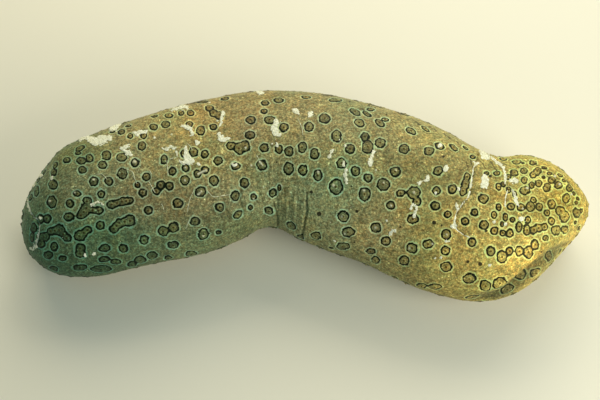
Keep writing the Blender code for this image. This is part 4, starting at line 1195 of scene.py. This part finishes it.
def grains(spots_px):
    vs, fs = [], []
    count = 0
    for (p, n, r) in spots_px:
        jitter = 1 + 0.35 * rng.standard_normal(len(ico_v)).clip(-1, 1)
        q = rng.standard_normal((3, 3))
        q, _ = np.linalg.qr(q)
        if np.linalg.det(q) < 0:
            q[:, 0] = -q[:, 0]
        squash = np.array([1.0, rng.uniform(0.65, 1.0), rng.uniform(0.45, 0.8)])
        v = (ico_v * jitter[:, None] * squash) @ q.T * r + p + n * r * 0.25
        vs.append(v)
        fs.append(ico_f + count)
        count += len(v)
    return np.vstack(vs), np.vstack(fs)


stuck = []
sandy = np.nonzero(sand > 0.55)[0]
for i in rng.choice(sandy, 3400):
    away_from = rng.standard_normal(3) * 0.24 * MM
    away_from -= flat_n[i] * (away_from @ flat_n[i])
    stuck.append((shape[i] + away_from, flat_n[i], rng.uniform(0.09, 0.30) * MM))
# a thin scatter of single grains over the back
for _ in range(420):
    px, py = rng.uniform(60, 570), rng.uniform(95, 285)
    found = on_skin(px, py)
    if found is not None and found[1][2] > 0.35:
        stuck.append((found[0], found[1], rng.uniform(0.10, 0.22) * MM))
gv, gf = grains(stuck)
sand_mesh = new_mesh("stuck_sand", gv, gf)
sand_mesh.uv_layers.new(name="OFBake")
print("grains", len(stuck), "tris", len(gf))
stuck_sand = bpy.data.objects.new("stuck_sand", sand_mesh)
bpy.context.collection.objects.link(stuck_sand)


def sand_material():
    n = Nodes("coral_sand")
    co = n.add("ShaderNodeTexCoord").outputs["Object"]
    tone = n.noise(co, 900, 1, 0.5)
    colour = n.mix(n.span(tone, 0.35, 0.65), lin(214, 210, 178), lin(252, 250, 232))
    colour = n.mix(n.span(n.noise(co, 350, 1, 0.5), 0.62, 0.72, 0, 0.5), colour, lin(190, 172, 128))
    n.link(colour, n.shader.inputs["Base Color"])
    n.link(n.math("MULTIPLY_ADD", tone, 0.2, 0.65), n.shader.inputs["Roughness"])
    return n.material


sand_mesh.materials.append(sand_material())
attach(stuck_sand, "root")

# threads of slime and sand that lie on the back
tv, tf = [], []
for pixels, radius in THREADS:
    path = []
    for (x0, y0), (x1, y1) in zip(pixels[:-1], pixels[1:]):
        n = max(2, int(math.hypot(x1 - x0, y1 - y0) / 1.2))
        path += [(x0 + (x1 - x0) * k / n, y0 + (y1 - y0) * k / n) for k in range(n)]
    path.append(pixels[-1])
    hits = [h for h in (on_skin(*p) for p in path) if h is not None]
    if len(hits) < 3:
        continue
    line = np.array([h[0] + h[1] * radius * 0.4 * MM for h in hits])
    for _ in range(2):
        line[1:-1] = (line[:-2] + 2 * line[1:-1] + line[2:]) / 4
    ring_count = 7
    start = sum(len(v) for v in tv)
    rows = []
    for k in range(len(line)):
        d = line[min(k + 1, len(line) - 1)] - line[max(k - 1, 0)]
        d /= np.linalg.norm(d)
        n = hits[k][1]
        b = np.cross(d, n)
        b /= np.linalg.norm(b)
        n = np.cross(b, d)
        r = radius * MM * (0.55 + 0.45 * math.sin(math.pi * (k + 0.5) / len(line))) * (1 + 0.25 * rng.standard_normal())
        r = max(r, 0.06 * MM)
        rows.append([line[k] + r * (math.cos(t) * b + 0.7 * math.sin(t) * n) for t in np.linspace(0, 2 * math.pi, ring_count + 1)[:-1]])
    v = np.array(rows).reshape(-1, 3)
    tv.append(np.vstack([v, line[0], line[-1]]))
    for k in range(len(line) - 1):
        for t in range(ring_count):
            u = (t + 1) % ring_count
            tf.append([start + k * ring_count + t, start + k * ring_count + u, start + (k + 1) * ring_count + u, start + (k + 1) * ring_count + t])
    first, last = start + len(v), start + len(v) + 1
    for t in range(ring_count):
        u = (t + 1) % ring_count
        tf.append([first, start + u, start + t])
        tf.append([last, start + (len(line) - 1) * ring_count + t, start + (len(line) - 1) * ring_count + u])
thread_mesh = new_mesh("slime_threads", np.vstack(tv), tf)
thread_mesh.uv_layers.new(name="OFBake")
thread_mesh.polygons.foreach_set("use_smooth", np.ones(len(thread_mesh.polygons), bool))
threads = bpy.data.objects.new("slime_threads", thread_mesh)
bpy.context.collection.objects.link(threads)


def thread_material():
    n = Nodes("pale_slime")
    co = n.add("ShaderNodeTexCoord").outputs["Object"]
    colour = n.mix(n.span(n.noise(co, 700, 2, 0.5), 0.35, 0.65), lin(186, 192, 158), lin(232, 232, 208))
    n.link(colour, n.shader.inputs["Base Color"])
    n.link(n.math("MULTIPLY_ADD", n.noise(co, 500, 1, 0.5), 0.2, 0.4), n.shader.inputs["Roughness"])
    return n.material


thread_mesh.materials.append(thread_material())
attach(threads, "root")

# =====================================================================================
# Tube feet: three bands along the sole
# =====================================================================================
foot_v, foot_f = [], []
foot_n = 8
profile = [(0.62, 1.0), (0.52, 0.62), (0.46, 0.32), (0.66, 0.12), (0.60, 0.0)]
count = 0
for band, width, gap in ((0.0, 9.0, 2.6), (-0.43, 6.0, 2.6), (0.43, 6.0, 2.6)):
    s = 14 * MM
    while s < LENGTH - 14 * MM:
        t, centre, along, across = frame_at(s)
        share = min(1.0, float(closing(s, TAIL_ROUND) * closing(LENGTH - s, HEAD_ROUND)))
        reach = SOLE * share
        for k in range(int(width / gap) + 1):
            off = (k - int(width / gap) / 2) * gap * MM + rng.normal(0, 0.5) * MM
            w = band * 2 * SOLE * 0.8 * share
            x = (far_width(t) if w < 0 else near_width(t)) * w * 0.9 + off
            p = centre - across * x + along * rng.normal(0, 0.7) * MM
            if np.hypot(*(p - mouth)) < MOUTH_RADIUS + 2 * MM:
                continue
            j = int(np.argmin((shape[:, 0] - p[0]) ** 2 + (shape[:, 1] - p[1]) ** 2 + (flat_n[:, 2] > -0.5) * 1.0))
            roof = shape[j, 2]
            if roof > 1.6 * MM or (shape[j, 0] - p[0]) ** 2 + (shape[j, 1] - p[1]) ** 2 > (1.5 * MM) ** 2:
                continue
            size = rng.uniform(0.75, 1.1) * MM
            rows = []
            for r, z in profile:
                zz = 0.06 * MM + z * (roof + 0.25 * MM)
                rows += [
                    (p[0] + r * size * math.cos(q), p[1] + r * size * math.sin(q), zz)
                    for q in np.linspace(0, 2 * math.pi, foot_n + 1)[:-1]
                ]
            rows += [(p[0], p[1], 0.06 * MM + roof + 0.25 * MM), (p[0], p[1], 0.10 * MM)]
            foot_v += rows
            for a in range(len(profile) - 1):
                for b in range(foot_n):
                    c = (b + 1) % foot_n
                    foot_f.append([count + a * foot_n + b, count + (a + 1) * foot_n + b, count + (a + 1) * foot_n + c, count + a * foot_n + c])
            top_i, low_i = count + len(profile) * foot_n, count + len(profile) * foot_n + 1
            last = count + (len(profile) - 1) * foot_n
            for b in range(foot_n):
                c = (b + 1) % foot_n
                foot_f.append([top_i, count + b, count + c])
                foot_f.append([low_i, last + c, last + b])
            count += len(rows)
        s += gap * MM * rng.uniform(0.85, 1.15)
feet_mesh = new_mesh("tube_feet", np.array(foot_v), foot_f)
feet_mesh.uv_layers.new(name="OFBake")
feet_mesh.polygons.foreach_set("use_smooth", np.ones(len(feet_mesh.polygons), bool))
feet = bpy.data.objects.new("tube_feet", feet_mesh)
bpy.context.collection.objects.link(feet)
print("feet polys", len(foot_f))


def feet_material():
    n = Nodes("tube_foot_flesh")
    co = n.add("ShaderNodeTexCoord").outputs["Object"]
    colour = n.mix(n.span(n.noise(co, 260, 2, 0.5), 0.35, 0.65), lin(150, 132, 92), lin(196, 184, 146))
    n.link(colour, n.shader.inputs["Base Color"])
    n.link(n.math("MULTIPLY_ADD", n.noise(co, 400, 1, 0.5), 0.2, 0.38), n.shader.inputs["Roughness"])
    return n.material


feet_mesh.materials.append(feet_material())
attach(feet, "root")

# =====================================================================================
# The drawn-in crown keeps its solid, with a finish of its own
# =====================================================================================
def crown_material():
    n = Nodes("tentacle_flesh")
    co = n.add("ShaderNodeTexCoord").outputs["Object"]
    colour = n.mix(n.span(n.noise(co, 420, 3, 0.6), 0.35, 0.65), lin(150, 124, 74), lin(204, 186, 138))
    colour = n.mix(n.span(n.voronoi(co, 900).outputs["Distance"], 0.3, 0.1, 0, 0.5), colour, lin(92, 70, 40))
    n.link(colour, n.shader.inputs["Base Color"])
    n.link(n.math("MULTIPLY_ADD", n.noise(co, 500, 1, 0.5), 0.2, 0.36), n.shader.inputs["Roughness"])
    bump = n.add("ShaderNodeBump")
    bump.inputs["Strength"].default_value = 0.5
    bump.inputs["Distance"].default_value = 0.0003
    n.link(n.voronoi(co, 1300).outputs["Distance"], bump.inputs["Height"])
    n.link(bump.outputs["Normal"], n.shader.inputs["Normal"])
    return n.material


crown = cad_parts["mouth_tentacles"]
crown_mat = crown_material()
if crown.material_slots:
    for s in crown.material_slots:
        s.material = crown_mat
else:
    crown.data.materials.append(crown_mat)

# =====================================================================================
# Floor, light and camera
# =====================================================================================
floor_mesh = bpy.data.meshes.new("floor")
floor_mesh.from_pydata([(-3, -3, 0), (3, -3, 0), (3, 3, 0), (-3, 3, 0)], [], [(0, 1, 2, 3)])
floor = bpy.data.objects.new("floor", floor_mesh)
bpy.context.collection.objects.link(floor)
fm = bpy.data.materials.new("pale_floor")
fm.use_nodes = True
fs = fm.node_tree.nodes["Principled BSDF"]
fs.inputs["Base Color"].default_value = lin(232, 228, 216)
fs.inputs["Roughness"].default_value = 0.9
floor_mesh.materials.append(fm)

world = bpy.data.worlds.new("studio")
bpy.context.scene.world = world
world.use_nodes = True
world.node_tree.nodes["Background"].inputs["Color"].default_value = (0.68, 1.0, 1.0, 1)
world.node_tree.nodes["Background"].inputs["Strength"].default_value = 0.22


def area(name, place_at, aim, size, power, colour):
    data = bpy.data.lights.new(name, "AREA")
    data.shape = "RECTANGLE"
    data.size, data.size_y = size
    data.energy = power
    data.color = colour
    ob = bpy.data.objects.new(name, data)
    ob.location = place_at
    ob.rotation_euler = (Vector(aim) - Vector(place_at)).to_track_quat("-Z", "Y").to_euler()
    bpy.context.collection.objects.link(ob)
    return ob


area("key", (0.35, 0.75, 0.65), (0.03, 0.0, 0.03), (0.7, 0.6), 6.2, (1.0, 0.96, 0.79))
area("far", (-0.25, 0.75, 0.60), (-0.05, 0.0, 0.03), (0.7, 0.6), 4.4, (1.0, 0.84, 0.54))
area("side", (0.55, -0.42, 0.38), (0.08, 0.0, 0.03), (0.5, 0.4), 4.2, (1.0, 0.96, 0.80))

camera_data = bpy.data.cameras.new("camera")
camera_data.lens = LENS
camera_data.sensor_width = 36.0
camera_data.sensor_fit = "HORIZONTAL"
camera_data.clip_start = 0.01
camera = bpy.data.objects.new("camera", camera_data)
camera.location = EYE
camera.rotation_euler = (math.pi / 2 - ELEVATION, 0.0, 0.0)
bpy.context.collection.objects.link(camera)
bpy.context.scene.camera = camera
bpy.context.scene.view_settings.view_transform = "Standard"
